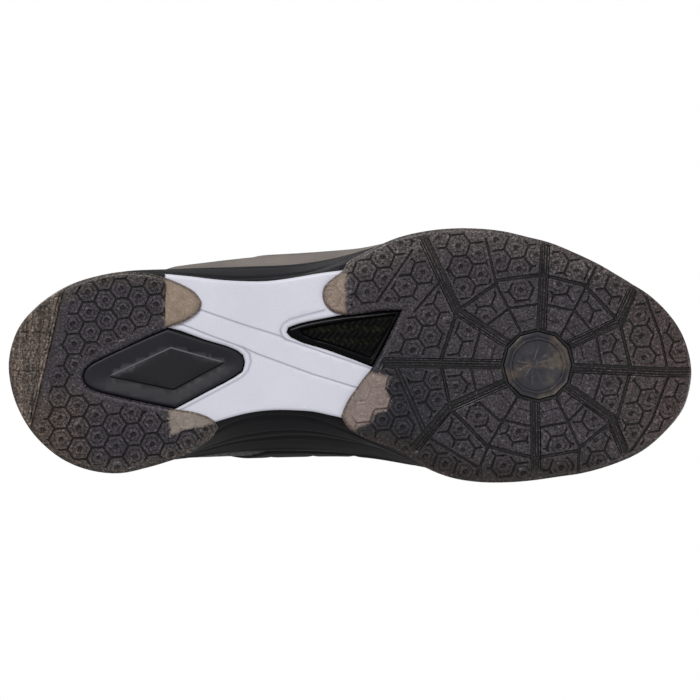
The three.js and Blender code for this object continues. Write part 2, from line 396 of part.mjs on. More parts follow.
// the crossing over the tongue from under one edge to the top of the other
const crossing = (from, to, high) => {
  const m = from.clone().lerp(to, 0.5), c = m.clone();
  c.z = tongueTop(m.x, m.y) + (high ? LIFT + 3.3 : LIFT);
  const q = onTongue(from.clone().lerp(to, 0.2), LIFT), r = onTongue(from.clone().lerp(to, 0.8), LIFT + 0.6);
  return [q, c, r];
};
const strand = (startMedial, high) => {
  const pts = [], eye = (k, medial) => (medial ? eyeM(k) : eyeL(k));
  let medial = startMedial;
  pts.push(off(eye(0, medial), EYELET_W, 1.3 + LACE_R + 0.5));
  for (let k = 0; k < 6; k++) {
    const t = eye(k, medial);
    pts.push(off(t, EYELET_W, 0), off(t, EYELET_W, -4));
    if (k === 5) {
      const turn = medial ? 1 : -1;
      pts.push(off(t, 0.85, -6), off(t + 0.1 * turn, 0.76, -6.6), off(t + 0.15 * turn, 0.68, -7));
      break;
    }
    pts.push(onTongue(off(t, 0.95, -5.4), LACE_R + 0.4));
    const b = eye(k + 1, !medial), from = onTongue(off(t, 1.0, -5.1), LACE_R + 0.5), to = off(b, 1, 1.3 + LACE_R + 1);
    pts.push(from, ...crossing(from, to, (k % 2 === 0) === high), to, off(b, 0.94, 1.3 + LACE_R + 0.7), off(b, EYELET_W, 1.3 + LACE_R + 0.2));
    medial = !medial;
  }
  return pts;
};
const a = strand(false, true), b = strand(true, false);
const edgeL = off(eyeL(0), 1, 1.3 + LACE_R + 0.6), edgeM = off(eyeM(0), 1, 1.3 + LACE_R + 0.6);
const mid = edgeL.clone().lerp(edgeM, 0.5);
mid.z = Math.max(tongueTop(mid.x, mid.y) + LIFT, mid.z + 0.8);
const route = [...a.slice().reverse(), edgeL, mid, edgeM, ...b];
const tube = (points, r, sides, step) => {
  const curve = new THREE.CatmullRomCurve3(points, false, "centripetal");
  const ring = new THREE.Shape(Array.from({ length: sides }, (_, i) => new THREE.Vector2(r * Math.cos((2 * Math.PI * i) / sides), r * Math.sin((2 * Math.PI * i) / sides))));
  return new THREE.ExtrudeGeometry(ring, { steps: step, bevelEnabled: false, extrudePath: curve });
};
const lace = toSolid(tube(route, LACE_R, 6, 110));
const aglet = (pts) => {
  const [p, q] = pts, d = p.clone().sub(q).normalize();
  return toSolid(tube([p.clone().addScaledVector(d, 0.4), p.clone().addScaledVector(d, 6), p.clone().addScaledVector(d, 14)], 1.2, 8, 2));
};

// ---------------------------------------------------------------- assembly
const mat = (hex, roughness, metalness = 0) => new THREE.MeshStandardMaterial({ color: hex, roughness, metalness });
const smoke = mat(0x4a4342, 0.45), white = mat(0xe6e6ee, 0.4), black = mat(0x1c1c1f, 0.6), eva = mat(0x232326, 0.75), gloss = mat(0x131315, 0.25);
const mesh = mat(0x3b3938, 0.9), taupe = mat(0x857a72, 0.5, 0.2), soft = mat(0x1b1b1d, 0.95), laceMat = mat(0x151517, 0.9), foam = mat(0x8a8a86, 0.9), board = mat(0xb9b4a8, 0.9);
const shoe = new THREE.Group();
shoe.name = "court_shoe";
const add = (group, name, solid, material) => {
  const m = new THREE.Mesh(toGeometry(solid), material);
  m.name = name;
  group.add(m);
};
const sole = new THREE.Group(), upper = new THREE.Group(), inside = new THREE.Group(), closure = new THREE.Group();
shoe.add(sole, upper, inside, closure);
add(sole, "outsole_forefoot", outsoleForefoot, smoke);
add(sole, "outsole_heel", outsoleHeel, smoke);
add(sole, "pivot_disc", pivotDisc, smoke);
add(sole, "shank_plate", shankPlate, white);
add(sole, "heel_insert", heelInsert, black);
add(sole, "window_frame", windowFrame, gloss);
add(sole, "carbon_plate", carbonPlate, gloss);
add(sole, "midsole", midsole, eva);
add(sole, "heel_cushion", heelCushion.pad, foam);
add(sole, "forefoot_cushion", foreCushion.pad, foam);
add(inside, "strobel_board", strobelBoard, board);
add(inside, "sockliner", sockliner, soft);
add(upper, "vamp", vamp, mesh);
add(upper, "quarter_lateral", quarterLateral, mesh);
add(upper, "quarter_medial", quarterMedial, mesh);
add(upper, "toe_puff", toePuff, board);
add(upper, "heel_counter", heelCounter, board);
add(upper, "vamp_lining", vampLining, soft);
add(upper, "collar_foam", collarFoam, foam);
add(upper, "heel_lining", heelLining, soft);
add(upper, "eyestay", eyestay, black);
add(upper, "toe_guard", toeGuard, black);
add(upper, "heel_clip", heelClip, gloss);
add(upper, "side_band_lateral", sideBandLateral, taupe);
add(upper, "side_band_medial", sideBandMedial, black);
add(upper, "wing_lateral", quarterWingLateral, taupe);
add(upper, "wing_medial", quarterWingMedial, taupe);
add(upper, "heel_tab", heelTab, taupe);
add(closure, "tongue", tongue, soft);
add(closure, "tongue_pad", tonguePad, soft);
add(closure, "lace", lace, laceMat);
add(closure, "aglet_lateral", aglet([route[0], route[1]]), gloss);
add(closure, "aglet_medial", aglet([route[route.length - 1], route[route.length - 2]]), gloss);
shoe.children.forEach((g) => g.position.set(...OFFSET));

export default shoe;
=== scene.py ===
import bpy, json, math
import numpy as np
from mathutils import Vector
from mathutils.geometry import delaunay_2d_cdt
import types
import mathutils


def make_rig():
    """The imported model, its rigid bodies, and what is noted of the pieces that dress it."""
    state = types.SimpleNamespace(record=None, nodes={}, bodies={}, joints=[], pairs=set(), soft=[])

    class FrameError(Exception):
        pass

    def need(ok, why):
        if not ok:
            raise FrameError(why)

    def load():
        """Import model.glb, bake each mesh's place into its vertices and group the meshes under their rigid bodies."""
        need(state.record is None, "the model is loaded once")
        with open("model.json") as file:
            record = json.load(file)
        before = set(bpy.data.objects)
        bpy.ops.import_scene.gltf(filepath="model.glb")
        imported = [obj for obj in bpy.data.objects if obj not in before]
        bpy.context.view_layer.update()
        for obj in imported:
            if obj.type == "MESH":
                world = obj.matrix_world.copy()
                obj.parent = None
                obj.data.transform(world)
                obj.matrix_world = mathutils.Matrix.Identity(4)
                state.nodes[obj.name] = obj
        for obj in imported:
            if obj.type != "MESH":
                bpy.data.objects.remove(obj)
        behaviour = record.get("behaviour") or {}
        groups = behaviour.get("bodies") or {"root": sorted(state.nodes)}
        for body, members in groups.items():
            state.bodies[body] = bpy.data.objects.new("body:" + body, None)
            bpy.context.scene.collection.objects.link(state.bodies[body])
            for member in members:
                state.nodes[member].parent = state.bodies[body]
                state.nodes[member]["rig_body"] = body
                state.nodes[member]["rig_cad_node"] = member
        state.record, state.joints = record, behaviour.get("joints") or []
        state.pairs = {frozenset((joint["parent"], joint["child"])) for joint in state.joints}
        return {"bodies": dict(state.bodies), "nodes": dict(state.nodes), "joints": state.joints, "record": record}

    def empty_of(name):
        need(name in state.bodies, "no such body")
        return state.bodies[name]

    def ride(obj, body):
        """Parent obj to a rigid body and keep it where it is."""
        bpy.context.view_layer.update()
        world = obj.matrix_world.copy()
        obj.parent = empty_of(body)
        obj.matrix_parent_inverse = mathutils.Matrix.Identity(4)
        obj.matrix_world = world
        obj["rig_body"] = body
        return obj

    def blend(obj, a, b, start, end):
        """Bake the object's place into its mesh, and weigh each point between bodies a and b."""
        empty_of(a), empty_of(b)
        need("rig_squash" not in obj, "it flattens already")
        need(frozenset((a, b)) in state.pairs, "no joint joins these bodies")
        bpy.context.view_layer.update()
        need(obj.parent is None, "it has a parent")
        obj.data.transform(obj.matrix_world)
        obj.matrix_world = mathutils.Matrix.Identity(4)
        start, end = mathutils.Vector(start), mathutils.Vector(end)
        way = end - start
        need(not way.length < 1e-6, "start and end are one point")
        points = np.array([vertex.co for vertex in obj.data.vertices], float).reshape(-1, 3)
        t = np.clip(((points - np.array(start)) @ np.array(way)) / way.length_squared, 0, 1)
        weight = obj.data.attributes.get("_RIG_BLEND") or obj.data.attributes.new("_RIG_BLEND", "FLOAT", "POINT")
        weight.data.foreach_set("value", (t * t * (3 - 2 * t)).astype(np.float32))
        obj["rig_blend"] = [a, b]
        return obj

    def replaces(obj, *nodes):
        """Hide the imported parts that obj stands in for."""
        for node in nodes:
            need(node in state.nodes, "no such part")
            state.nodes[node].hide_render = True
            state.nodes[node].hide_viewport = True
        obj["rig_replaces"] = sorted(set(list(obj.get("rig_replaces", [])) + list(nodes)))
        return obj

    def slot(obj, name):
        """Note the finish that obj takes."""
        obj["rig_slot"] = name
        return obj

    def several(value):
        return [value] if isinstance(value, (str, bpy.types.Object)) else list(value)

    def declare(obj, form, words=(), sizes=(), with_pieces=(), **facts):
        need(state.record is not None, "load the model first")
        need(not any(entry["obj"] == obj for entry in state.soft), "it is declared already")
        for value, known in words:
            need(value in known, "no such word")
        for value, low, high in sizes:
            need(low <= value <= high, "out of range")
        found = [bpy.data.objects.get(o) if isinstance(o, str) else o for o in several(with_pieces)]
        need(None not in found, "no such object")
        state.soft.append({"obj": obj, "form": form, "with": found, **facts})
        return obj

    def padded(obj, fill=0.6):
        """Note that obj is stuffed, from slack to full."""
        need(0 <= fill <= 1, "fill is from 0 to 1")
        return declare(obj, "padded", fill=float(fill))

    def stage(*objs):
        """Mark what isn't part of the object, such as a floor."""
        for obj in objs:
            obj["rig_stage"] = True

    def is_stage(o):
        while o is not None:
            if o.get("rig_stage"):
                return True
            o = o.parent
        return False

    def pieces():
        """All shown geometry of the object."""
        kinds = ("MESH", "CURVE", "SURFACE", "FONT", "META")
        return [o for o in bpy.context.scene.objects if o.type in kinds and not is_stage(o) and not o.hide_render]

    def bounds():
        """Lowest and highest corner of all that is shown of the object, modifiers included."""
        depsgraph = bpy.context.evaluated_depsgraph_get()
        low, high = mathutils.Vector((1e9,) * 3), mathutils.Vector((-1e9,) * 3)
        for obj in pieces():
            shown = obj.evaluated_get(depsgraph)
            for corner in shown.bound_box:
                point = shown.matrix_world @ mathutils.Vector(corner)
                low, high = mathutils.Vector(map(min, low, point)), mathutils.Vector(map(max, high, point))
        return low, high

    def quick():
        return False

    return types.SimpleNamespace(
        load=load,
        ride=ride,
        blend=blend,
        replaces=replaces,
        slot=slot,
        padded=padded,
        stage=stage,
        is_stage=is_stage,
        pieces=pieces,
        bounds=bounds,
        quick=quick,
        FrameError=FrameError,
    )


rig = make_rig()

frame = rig.load()
cad_lo, cad_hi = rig.bounds()
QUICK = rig.quick()
OFF = np.array([-0.2, 0.13, 0.0])
A_ = lambda rows: np.array(rows, float)

# ------------------------------------------------------------------ tables of the shoe
HEEL_POD = A_([[-92.8, -36.1], [-97.9, -36.4], [-108.7, -34.7], [-119.5, -31.5], [-128.1, -27.1], [-136, -21.3], [-143.2, -13.4], [-146.8, -5.5], [-148.4, 3.1], [-147.5, 12.5], [-144.6, 21.8], [-138.9, 31.9], [-131.7, 39.8], [-123.1, 45.9], [-112.3, 49.9], [-100, 51.1], [-87.1, 48.4], [-79.9, 46.3], [-72.7, 43.8], [-65.5, 39.8], [-59.6, 35.2], [-57.3, 31.1], [-59, 28.3], [-64.1, 25.6], [-69.1, 24.3], [-75.6, 23.3], [-87.1, 20.9], [-101.5, 17.7], [-110.8, 15.2], [-114.8, 12.7], [-116.1, 9.6], [-115.7, 7.2], [-113.7, 4.4], [-108.7, 1.5], [-97.9, -3.6], [-87.1, -8.6], [-78.4, -12.4], [-74.1, -13.8], [-69.1, -16.3], [-65.2, -19.9], [-64.4, -23.5], [-66.9, -27.1], [-72.7, -30.7], [-79.9, -33.6], [-87.2, -35.6]])
FORE_POD = A_([[-2.9, -37.2], [-1.3, -40.1], [6.2, -44.6], [13.8, -48.4], [21.2, -51.3], [32.4, -53.9], [43.6, -55.1], [54.7, -55.1], [65.9, -54], [77.2, -51.4], [86.3, -49.1], [97.5, -44.6], [108.7, -39.3], [119.9, -32.6], [129.6, -26.7], [137.8, -19.2], [143.8, -11], [147.2, -2.7], [148.8, 6.3], [147.9, 15], [144.9, 23.6], [137.1, 33.2], [127.4, 41.3], [116.2, 46.6], [101.2, 51], [91.1, 52.5], [77.2, 54.4], [65.9, 55.1], [54.8, 54.8], [43.6, 52.9], [33.1, 48.8], [24.9, 43.6], [17.5, 39.8], [6.2, 35.7], [-1.2, 30.9], [-3.8, 26.4], [-1.8, 21], [2.5, 14.5], [6.1, 9.6], [9.9, 4.8], [22.5, -19.8], [12.6, -19.4], [5.4, -18.3], [-1.8, -17.6], [-6.9, -18.7], [-10.4, -21.5], [-12, -25.7], [-11.1, -30], [-7.5, -33.6]])
PLATE = A_([[-80.3, -35.4], [-69.1, -34.3], [-58.3, -33], [-47.7, -32.3], [-36, -32.3], [-25, -33.7], [-12, -35.9], [-1, -37.2], [0.5, -30], [0.5, -18.5], [-10, -16.4], [-22, -13.9], [-26.8, -12.2], [-27.6, -10], [-25.6, -7.8], [-10, -2.4], [9.2, 4.9], [16, 8], [15, 19], [9, 25], [3, 29], [-3.6, 27], [-9, 25.8], [-16.2, 24.3], [-23.4, 23.8], [-30.6, 23.6], [-37.8, 24], [-45, 25.1], [-52.1, 26.9], [-59, 29], [-66, 31.3], [-78, 34], [-78.5, 24.6], [-63, 16.3], [-50.2, 9.5], [-46.6, 7], [-45.6, 3.1], [-46.4, -0.2], [-49.3, -2.4], [-63, -6.9], [-79, -12.2], [-80.3, -12.2]])
DIAMOND = A_([[-115.7, 9.6], [-115.3, 7.4], [-113.5, 4.8], [-108.6, 1.9], [-97.9, -3.2], [-87.1, -8.1], [-79.2, -11.4], [-63, -6.2], [-49.6, -1.8], [-47.1, 0.3], [-46.3, 3.1], [-47.2, 6.5], [-50.6, 8.9], [-63, 15.6], [-75.7, 22.5], [-87.1, 20.4], [-101.5, 17.2], [-110.7, 14.8], [-114.5, 12.4]])
DIAMOND_FLOOR = A_([[-104.8, 9.1], [-77.7, -3.4], [-54.5, 3.1], [-76.6, 15]])
WINDOW = A_([[-26.6, -11.6], [-22, -13.3], [-10, -15.8], [5.4, -17.8], [22, -19.3], [9.6, 4.3], [-10, -2.9], [-24.6, -8.2], [-26.9, -9.8]])
CARBON = A_([[-21, -10.9], [-8, -13.6], [19.4, -17.4], [8.8, 0.4], [-9, -6], [-20, -9.6]])
HUB = np.array([81.4, 4.3])
N, CUP = 28, 0.25


def table(rows):
    X, Z = A_(rows).T
    n = len(X)
    M = np.array([(Z[min(n - 1, i + 1)] - Z[max(0, i - 1)]) / (X[min(n - 1, i + 1)] - X[max(0, i - 1)]) for i in range(n)])

    def f(x):
        x = np.clip(np.asarray(x, float), X[0], X[-1])
        i = np.clip(np.searchsorted(X, x), 1, n - 1)
        h = X[i] - X[i - 1]
        s = (x - X[i - 1]) / h
        s2, s3 = s * s, s * s * s
        return (2 * s3 - 3 * s2 + 1) * Z[i - 1] + (s3 - 2 * s2 + s) * h * M[i - 1] + (3 * s2 - 2 * s3) * Z[i] + (s3 - s2) * h * M[i]

    return f


def tread(x, y):
    x, y = np.asarray(x, float), np.asarray(y, float)
    z = np.zeros(np.broadcast(x, y).shape)
    d = np.maximum(0, (x + 129.6) * -0.973 + (y + 2.6) * -0.23)
    z = z + 0.2 * d + 0.009 * d * d
    z = z + np.where((x > -66) & (x < 8), 2.2 * np.sin(np.pi * (x + 66) / 74) ** 2, 0)
    return z + 11.5 * (np.maximum(0, x - 74) / 75) ** 1.9


rim = table([[-150, 33], [-120, 32], [-90, 30.5], [-60, 28.5], [-30, 26], [0, 23.5], [30, 21.5], [60, 20.5], [90, 21], [115, 23.5], [135, 27.5], [150, 31]])
footbed = table([[-150, 21.5], [-120, 20], [-90, 19.5], [-60, 18.5], [-30, 16.5], [0, 13.5], [30, 11.5], [60, 10.8], [90, 11.8], [115, 15], [135, 19.5], [150, 23]])
loop = lambda lateral, medial: A_(lateral + medial[::-1])
LOW = loop(
    [[147.6, 7], [143, -10.5], [129, -26], [108.2, -38.5], [86, -48.2], [62, -53.7], [36, -53.6], [10, -45.6], [-18, -34.3], [-48, -31.8], [-77, -34.6], [-100, -35.6], [-122, -29.6], [-141, -15], [-147.5, 5]],
    [[143.7, 23.6], [130.4, 37.8], [109.6, 47.8], [87.8, 52.2], [62, 54.2], [38.4, 50], [13, 37], [-18, 23.9], [-48, 25.6], [-74, 41.5], [-100, 50.2], [-122.5, 45.2], [-139.5, 29.4]],
)
RIM = loop(
    [[146.3, 7], [141.3, -11], [127, -26.8], [107, -39], [85, -48.4], [60, -53], [34, -53], [8, -45.8], [-20, -40.6], [-48, -39.2], [-75, -38], [-100, -35.3], [-121, -27.8], [-138.5, -13], [-145.5, 7]],
    [[142.3, 24], [129, 38.3], [109, 47.6], [87, 51.6], [61, 53], [37, 49], [10, 39.8], [-20, 35.4], [-48, 37.8], [-75, 44.4], [-100, 48], [-122, 42.3], [-138.5, 27]],
)
BITE = loop(
    [[143, 7], [138.2, -9.6], [124.4, -24.4], [105, -36.1], [83.6, -45.4], [59.5, -50], [33.4, -50], [7, -42.8], [-20.6, -37.8], [-48.2, -36.4], [-74.7, -35.2], [-99.3, -32.5], [-119.3, -25.6], [-135.9, -11.6], [-142.4, 7]],
    [[139.2, 22.8], [126.5, 36], [107.3, 44.8], [86, 48.7], [60.4, 50], [35.8, 46], [8.8, 37], [-20.4, 32.6], [-48.3, 35], [-75, 41.6], [-99.5, 45.1], [-120.3, 40.1], [-136, 25.4]],
)
TOP = loop(
    [[46, 3, 69], [45, -1.5, 69], [42, -5, 70], [36, -8, 72.5], [27.5, -10.3, 76], [17, -12, 80.3], [5, -13.5, 85.5], [-8, -15, 91], [-24, -16.8, 97.3], [-44, -22, 98], [-72, -28.5, 84], [-98, -28.5, 77], [-120, -22, 83], [-135, -7.8, 93], [-138.5, 7.3, 98]],
    [[45, 7, 69], [42, 10.5, 70], [36, 13.6, 72.5], [27.5, 16.6, 76.5], [17, 19.5, 81], [5, 22, 86.3], [-8, 24.5, 92], [-24, 27.3, 98.3], [-44, 34, 99], [-72, 41, 86], [-98, 42.5, 80], [-120, 36.8, 85], [-135, 22.3, 93.5]],
)
RISE = loop(
    [[5, 0, 19], [4, -1.5, 19], [3, -4, 20], [1, -6, 21], [0, -7, 22], [-1, -6.5, 23], [-2, -6, 24], [-2, -10, 23], [-1, -15, 20], [0, -12, 20], [1, -8, 20], [0, -4, 18], [-2, -2.5, 18], [-4, -1, 20], [-4.5, 0, 20]],
    [[4, 1.5, 19], [3, 3.5, 20], [1, 5, 21], [0, 6, 22], [-1, 5.5, 23], [-2, 6.5, 24], [-2, 12, 22], [-1, 16, 20], [0, 13, 20], [1, 6, 20], [0, 3.5, 18], [-2, 2.5, 18], [-4, 1, 20]],
)
FALL = loop(
    [[48, 1, -1], [44, -6, -2], [36, -14, -3], [27, -20, -5], [18, -23, -8], [12, -24, -11], [7, -22, -14], [4, -23, -18], [2, -22, -22], [-1, -20, -24], [0, -8, -20], [0, -3, -18], [-2, -3, -20], [-5, -1, -22], [-7, 0, -24]],
    [[44, 8, -2], [36, 16, -3], [27, 21, -5], [18, 22, -8], [12, 21, -11], [7, 20, -14], [4, 21, -18], [2, 21, -22], [-1, 14, -24], [0, 5, -20], [0, 3, -18], [-2, 3, -20], [-5, 1, -22]],
)


def at(rows, t):
    t = np.asarray(t, float) % N
    i = np.floor(t).astype(int)
    f = (t - i)[..., None]
    a, b, d, e = rows[(i - 1) % N], rows[i % N], rows[(i + 1) % N], rows[(i + 2) % N]
    return b + 0.5 * f * (d - a + f * (2 * a - 5 * b + 4 * d - e + f * (3 * (b - d) + e - a)))


def outward(rows, t):
    d = at(rows, np.asarray(t) + 0.05)[..., :2] - at(rows, np.asarray(t) - 0.05)[..., :2]
    return np.stack([-d[..., 1], d[..., 0]], -1) / np.linalg.norm(d, axis=-1, keepdims=True)


def surface(t, w):
    t, w = np.broadcast_arrays(np.asarray(t, float), np.asarray(w, float))
    f = at(BITE, t)
    p0 = np.concatenate([f, (rim(f[..., 0]) + 0.3)[..., None]], -1)
    p3 = at(TOP, t)
    p1, p2 = p0 + at(RISE, t), p3 + at(FALL, t)
    g2 = f - 3 * outward(BITE, t)
    g = np.concatenate([g2, (footbed(g2[..., 0]) + 0.3)[..., None]], -1)
    k = np.clip(w, 0, 1)[..., None]
    c = 1 - k
    up = p0 * c**3 + p1 * 3 * c * c * k + p2 * 3 * c * k * k + p3 * k**3
    return np.where((w < 0)[..., None], p0 + (g - p0) * np.clip(-w / CUP, 0, 1)[..., None], up)


def unit(v):
    return v / np.maximum(1e-9, np.linalg.norm(v, axis=-1, keepdims=True))


def normal(t, w):
    t, w = np.broadcast_arrays(np.asarray(t, float), np.asarray(w, float))
    e = 1e-2
    dt = surface(t + e, w) - surface(t - e, w)
    dw = surface(t, np.minimum(1, w + e)) - surface(t, np.maximum(np.where(w < 0, -CUP, 0), w - e))
    return unit(np.cross(dw, dt))


def off(t, w, d):
    return surface(t, w) + normal(t, w) * np.asarray(d, float)[..., None]


def smooth(a, b, x):
    s = np.clip((np.asarray(x, float) - a) / (b - a), 0, 1)
    return s * s * (3 - 2 * s)


def folded(t):
    t = np.asarray(t, float) % N
    return np.minimum(t, N - t)


def foam_in(t, w):
    return 3.7 + 3.2 * smooth(0.52, 0.84, w) * smooth(9.1, 10.3, folded(t))


# ------------------------------------------------------------------ meshes
def lin(r, g, b):
    f = lambda c: c / 255 / 12.92 if c <= 10.3 else ((c / 255 + 0.055) / 1.055) ** 2.4
    return (f(r), f(g), f(b), 1.0)


def build(name, v, faces, mats, body="shoe", replaces=(), slot=None, sharp=35, fmat=None, corner=None, point=None, merge=False, orient=True):
    """faces is a list of index arrays, each with its own number of corners."""
    v = (np.asarray(v, float).reshape(-1, 3) + OFF) * 0.001
    F = [np.asarray(f, np.int64).reshape(len(f), -1) for f in faces if len(f)]
    if orient:
        vol = 0.0
        for f in F:
            a = v[f[:, 0]]
            for k in range(1, f.shape[1] - 1):
                vol += np.einsum("ij,ij->i", a, np.cross(v[f[:, k]], v[f[:, k + 1]])).sum()
        if vol < 0:
            F = [f[:, ::-1] for f in F]
            if corner:
                for k in corner:
                    corner[k] = corner[k].reshape(len(F[0]), F[0].shape[1], -1)[:, ::-1].reshape(-1, corner[k].shape[-1]) if len(F) == 1 else corner[k]
    me = bpy.data.meshes.new(name)
    me.vertices.add(len(v))
    me.vertices.foreach_set("co", v.astype(np.float32).ravel())
    loops = np.concatenate([f.ravel() for f in F]).astype(np.int32)
    counts = np.concatenate([np.full(len(f), f.shape[1]) for f in F])
    me.loops.add(len(loops))
    me.loops.foreach_set("vertex_index", loops)
    me.polygons.add(len(counts))
    me.polygons.foreach_set("loop_start", np.concatenate([[0], np.cumsum(counts)[:-1]]).astype(np.int32))
    me.update(calc_edges=True)
    for k, a in (point or {}).items():
        a = np.asarray(a, np.float32)
        if a.ndim == 1:
            me.attributes.new(k, "FLOAT", "POINT").data.foreach_set("value", a)
        else:
            me.attributes.new(k, "FLOAT_VECTOR", "POINT").data.foreach_set("vector", a.ravel())
    for k, a in (corner or {}).items():
        me.attributes.new(k, "FLOAT_COLOR", "CORNER").data.foreach_set("color", np.asarray(a, np.float32).ravel())
    for m in mats if isinstance(mats, (list, tuple)) else [mats]:
        me.materials.append(m)
    if fmat is not None:
        me.polygons.foreach_set("material_index", np.asarray(fmat, np.int32))
    if merge:
        import bmesh

        bm = bmesh.new()
        bm.from_mesh(me)
        bmesh.ops.remove_doubles(bm, verts=bm.verts, dist=2e-6)
        bmesh.ops.dissolve_degenerate(bm, edges=bm.edges, dist=1e-7)
        bm.to_mesh(me)
        bm.free()
    me.polygons.foreach_set("use_smooth", np.ones(len(me.polygons), bool))
    me.set_sharp_from_angle(angle=math.radians(sharp))
    me.update()
    o = bpy.data.objects.new(name, me)
    bpy.context.scene.collection.objects.link(o)
    if body:
        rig.ride(o, body)
    if replaces:
        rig.replaces(o, *replaces)
    if slot:
        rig.slot(o, slot)
    return o


def shell(a, b, keep=None, closed=False):
    """A closed skin between two grids of points (nt, nw, 3). keep is the rows of b that are used."""
    nt, nw = a.shape[:2]
    keep = list(range(nw)) if keep is None else sorted(set([0, *keep, nw - 1]))
    b = b[:, keep]
    nk = len(keep)
    v = np.concatenate([a.reshape(-1, 3), b.reshape(-1, 3)])
    ia = np.arange(nt * nw).reshape(nt, nw)
    ib = nt * nw + np.arange(nt * nk).reshape(nt, nk)
    if closed:
        ia, ib = np.vstack([ia, ia[:1]]), np.vstack([ib, ib[:1]])
    q = lambda g: np.stack([g[:-1, :-1], g[1:, :-1], g[1:, 1:], g[:-1, 1:]], -1).reshape(-1, 4)
    quads = [q(ia), q(ib)[:, ::-1]]
    quads.append(np.stack([ia[:-1, 0], ib[:-1, 0], ib[1:, 0], ia[1:, 0]], -1))
    quads.append(np.stack([ia[:-1, -1], ia[1:, -1], ib[1:, -1], ib[:-1, -1]], -1))
    faces = [np.concatenate(quads)]
    if not closed:
        if nk == nw:
            faces[0] = np.concatenate([faces[0], np.stack([ia[0, :-1], ia[0, 1:], ib[0, 1:], ib[0, :-1]], -1), np.stack([ia[-1, :-1], ib[-1, :-1], ib[-1, 1:], ia[-1, 1:]], -1)])
        else:
            # each end is a run of triangles between the two columns
            for k, flip in ((0, False), (-1, True)):
                tri, j = [], 0
                for i in range(nw - 1):
                    tri.append([ia[k, i], ia[k, i + 1], ib[k, j]])
                    if j + 1 < nk and i + 1 >= keep[j + 1]:
                        tri.append([ia[k, i + 1], ib[k, j + 1], ib[k, j]])
                        j += 1
                tri = np.array(tri)
                faces.append(tri[:, ::-1] if flip else tri)
    return v, faces


def cdist(P, Q, closed=False):
    """Distance to a polyline, and on which side of it each point of P lies."""
    Q = np.asarray(Q, float)
    a = Q if closed else Q[:-1]
    b = np.roll(Q, -1, 0) if closed else Q[1:]
    best = np.full(len(P), 1e9)
    side = np.zeros(len(P))
    for p, q in zip(a, b):
        d = q - p
        l2 = max(1e-12, d @ d)
        s = np.clip(((P - p) @ d) / l2, 0, 1)
        r = P - p - s[:, None] * d
        e = np.hypot(r[:, 0], r[:, 1])
        c = (d[0] * r[:, 1] - d[1] * r[:, 0])
        m = e < best
        best[m] = e[m]
        side[m] = np.sign(c[m])
    return best, side


def inside(P, Q):
    x, y = P[:, 0], P[:, 1]
    r = np.zeros(len(P), bool)
    for (x1, y1), (x2, y2) in zip(Q, np.roll(Q, -1, 0)):
        c = (y1 > y) != (y2 > y)
        if abs(y2 - y1) > 1e-12:
            r ^= c & (x < (x2 - x1) * (y - y1) / (y2 - y1) + x1)
    return r


def grow(Q, d):
    Q = np.asarray(Q, float)
    a, b = np.roll(Q, 1, 0), np.roll(Q, -1, 0)
    area = (Q[:, 0] * b[:, 1] - b[:, 0] * Q[:, 1]).sum()
    sg = 1 if area > 0 else -1
    n1, n2 = Q - a, b - Q
    n1 = unit(np.stack([n1[:, 1], -n1[:, 0]], -1))
    n2 = unit(np.stack([n2[:, 1], -n2[:, 0]], -1))
    m = n1 + n2
    l = np.linalg.norm(m, axis=1, keepdims=True)
    return Q + m * (sg * d / np.maximum(0.5, l / 2) / l)


def rounded(Q, n=5, bend=0.72):
    """Closed Catmull-Rom through an outline's points, so that its curves stay smooth."""
    Q = np.asarray(Q, float)
    m = len(Q)
    out = []
    for i in range(m):
        a, b, d, e = Q[i - 1], Q[i], Q[(i + 1) % m], Q[(i + 2) % m]
        u1, u2, u3 = unit(b - a), unit(d - b), unit(e - d)
        l = np.linalg.norm(d - b)
        # tangents of equal turn; at a corner they follow this side only
        t0 = (u1 + u2) if u1 @ u2 > bend else u2 * 2
        t1 = (u2 + u3) if u2 @ u3 > bend else u2 * 2
        t0, t1 = unit(t0) * l, unit(t1) * l
        for k in range(n):
            s = k / n
            out.append((2 * s**3 - 3 * s * s + 1) * b + (s**3 - 2 * s * s + s) * t0 + (3 * s * s - 2 * s**3) * d + (s**3 - s * s) * t1)
    return np.array(out)


def offset_line(Q, d):
    Q = np.asarray(Q, float)
    t = np.gradient(Q, axis=0) if len(Q) > 2 else np.repeat((Q[1:] - Q[:1]), 2, 0)
    t = unit(t)
    n = np.stack([-t[:, 1], t[:, 0]], -1)
    return Q + n * d


class Plan:
    """Lines of a flat plan that become edges of the mesh."""

    def __init__(self):
        self.v, self.e = [], []

    def line(self, pts, closed=False):
        k, n = len(self.v), len(pts)
        self.v += [(float(p[0]), float(p[1])) for p in pts]
        self.e += [(k + i, k + i + 1) for i in range(n - 1)]
        if closed:
            self.e.append((k + n - 1, k))

    def solve(self, extra=()):
        v = self.v + [(float(x), float(y)) for x, y in extra]
        out = delaunay_2d_cdt([Vector(p) for p in v], self.e, [], 0, 1e-4)
        return np.array([tuple(p) for p in out[0]]), np.array(out[2])


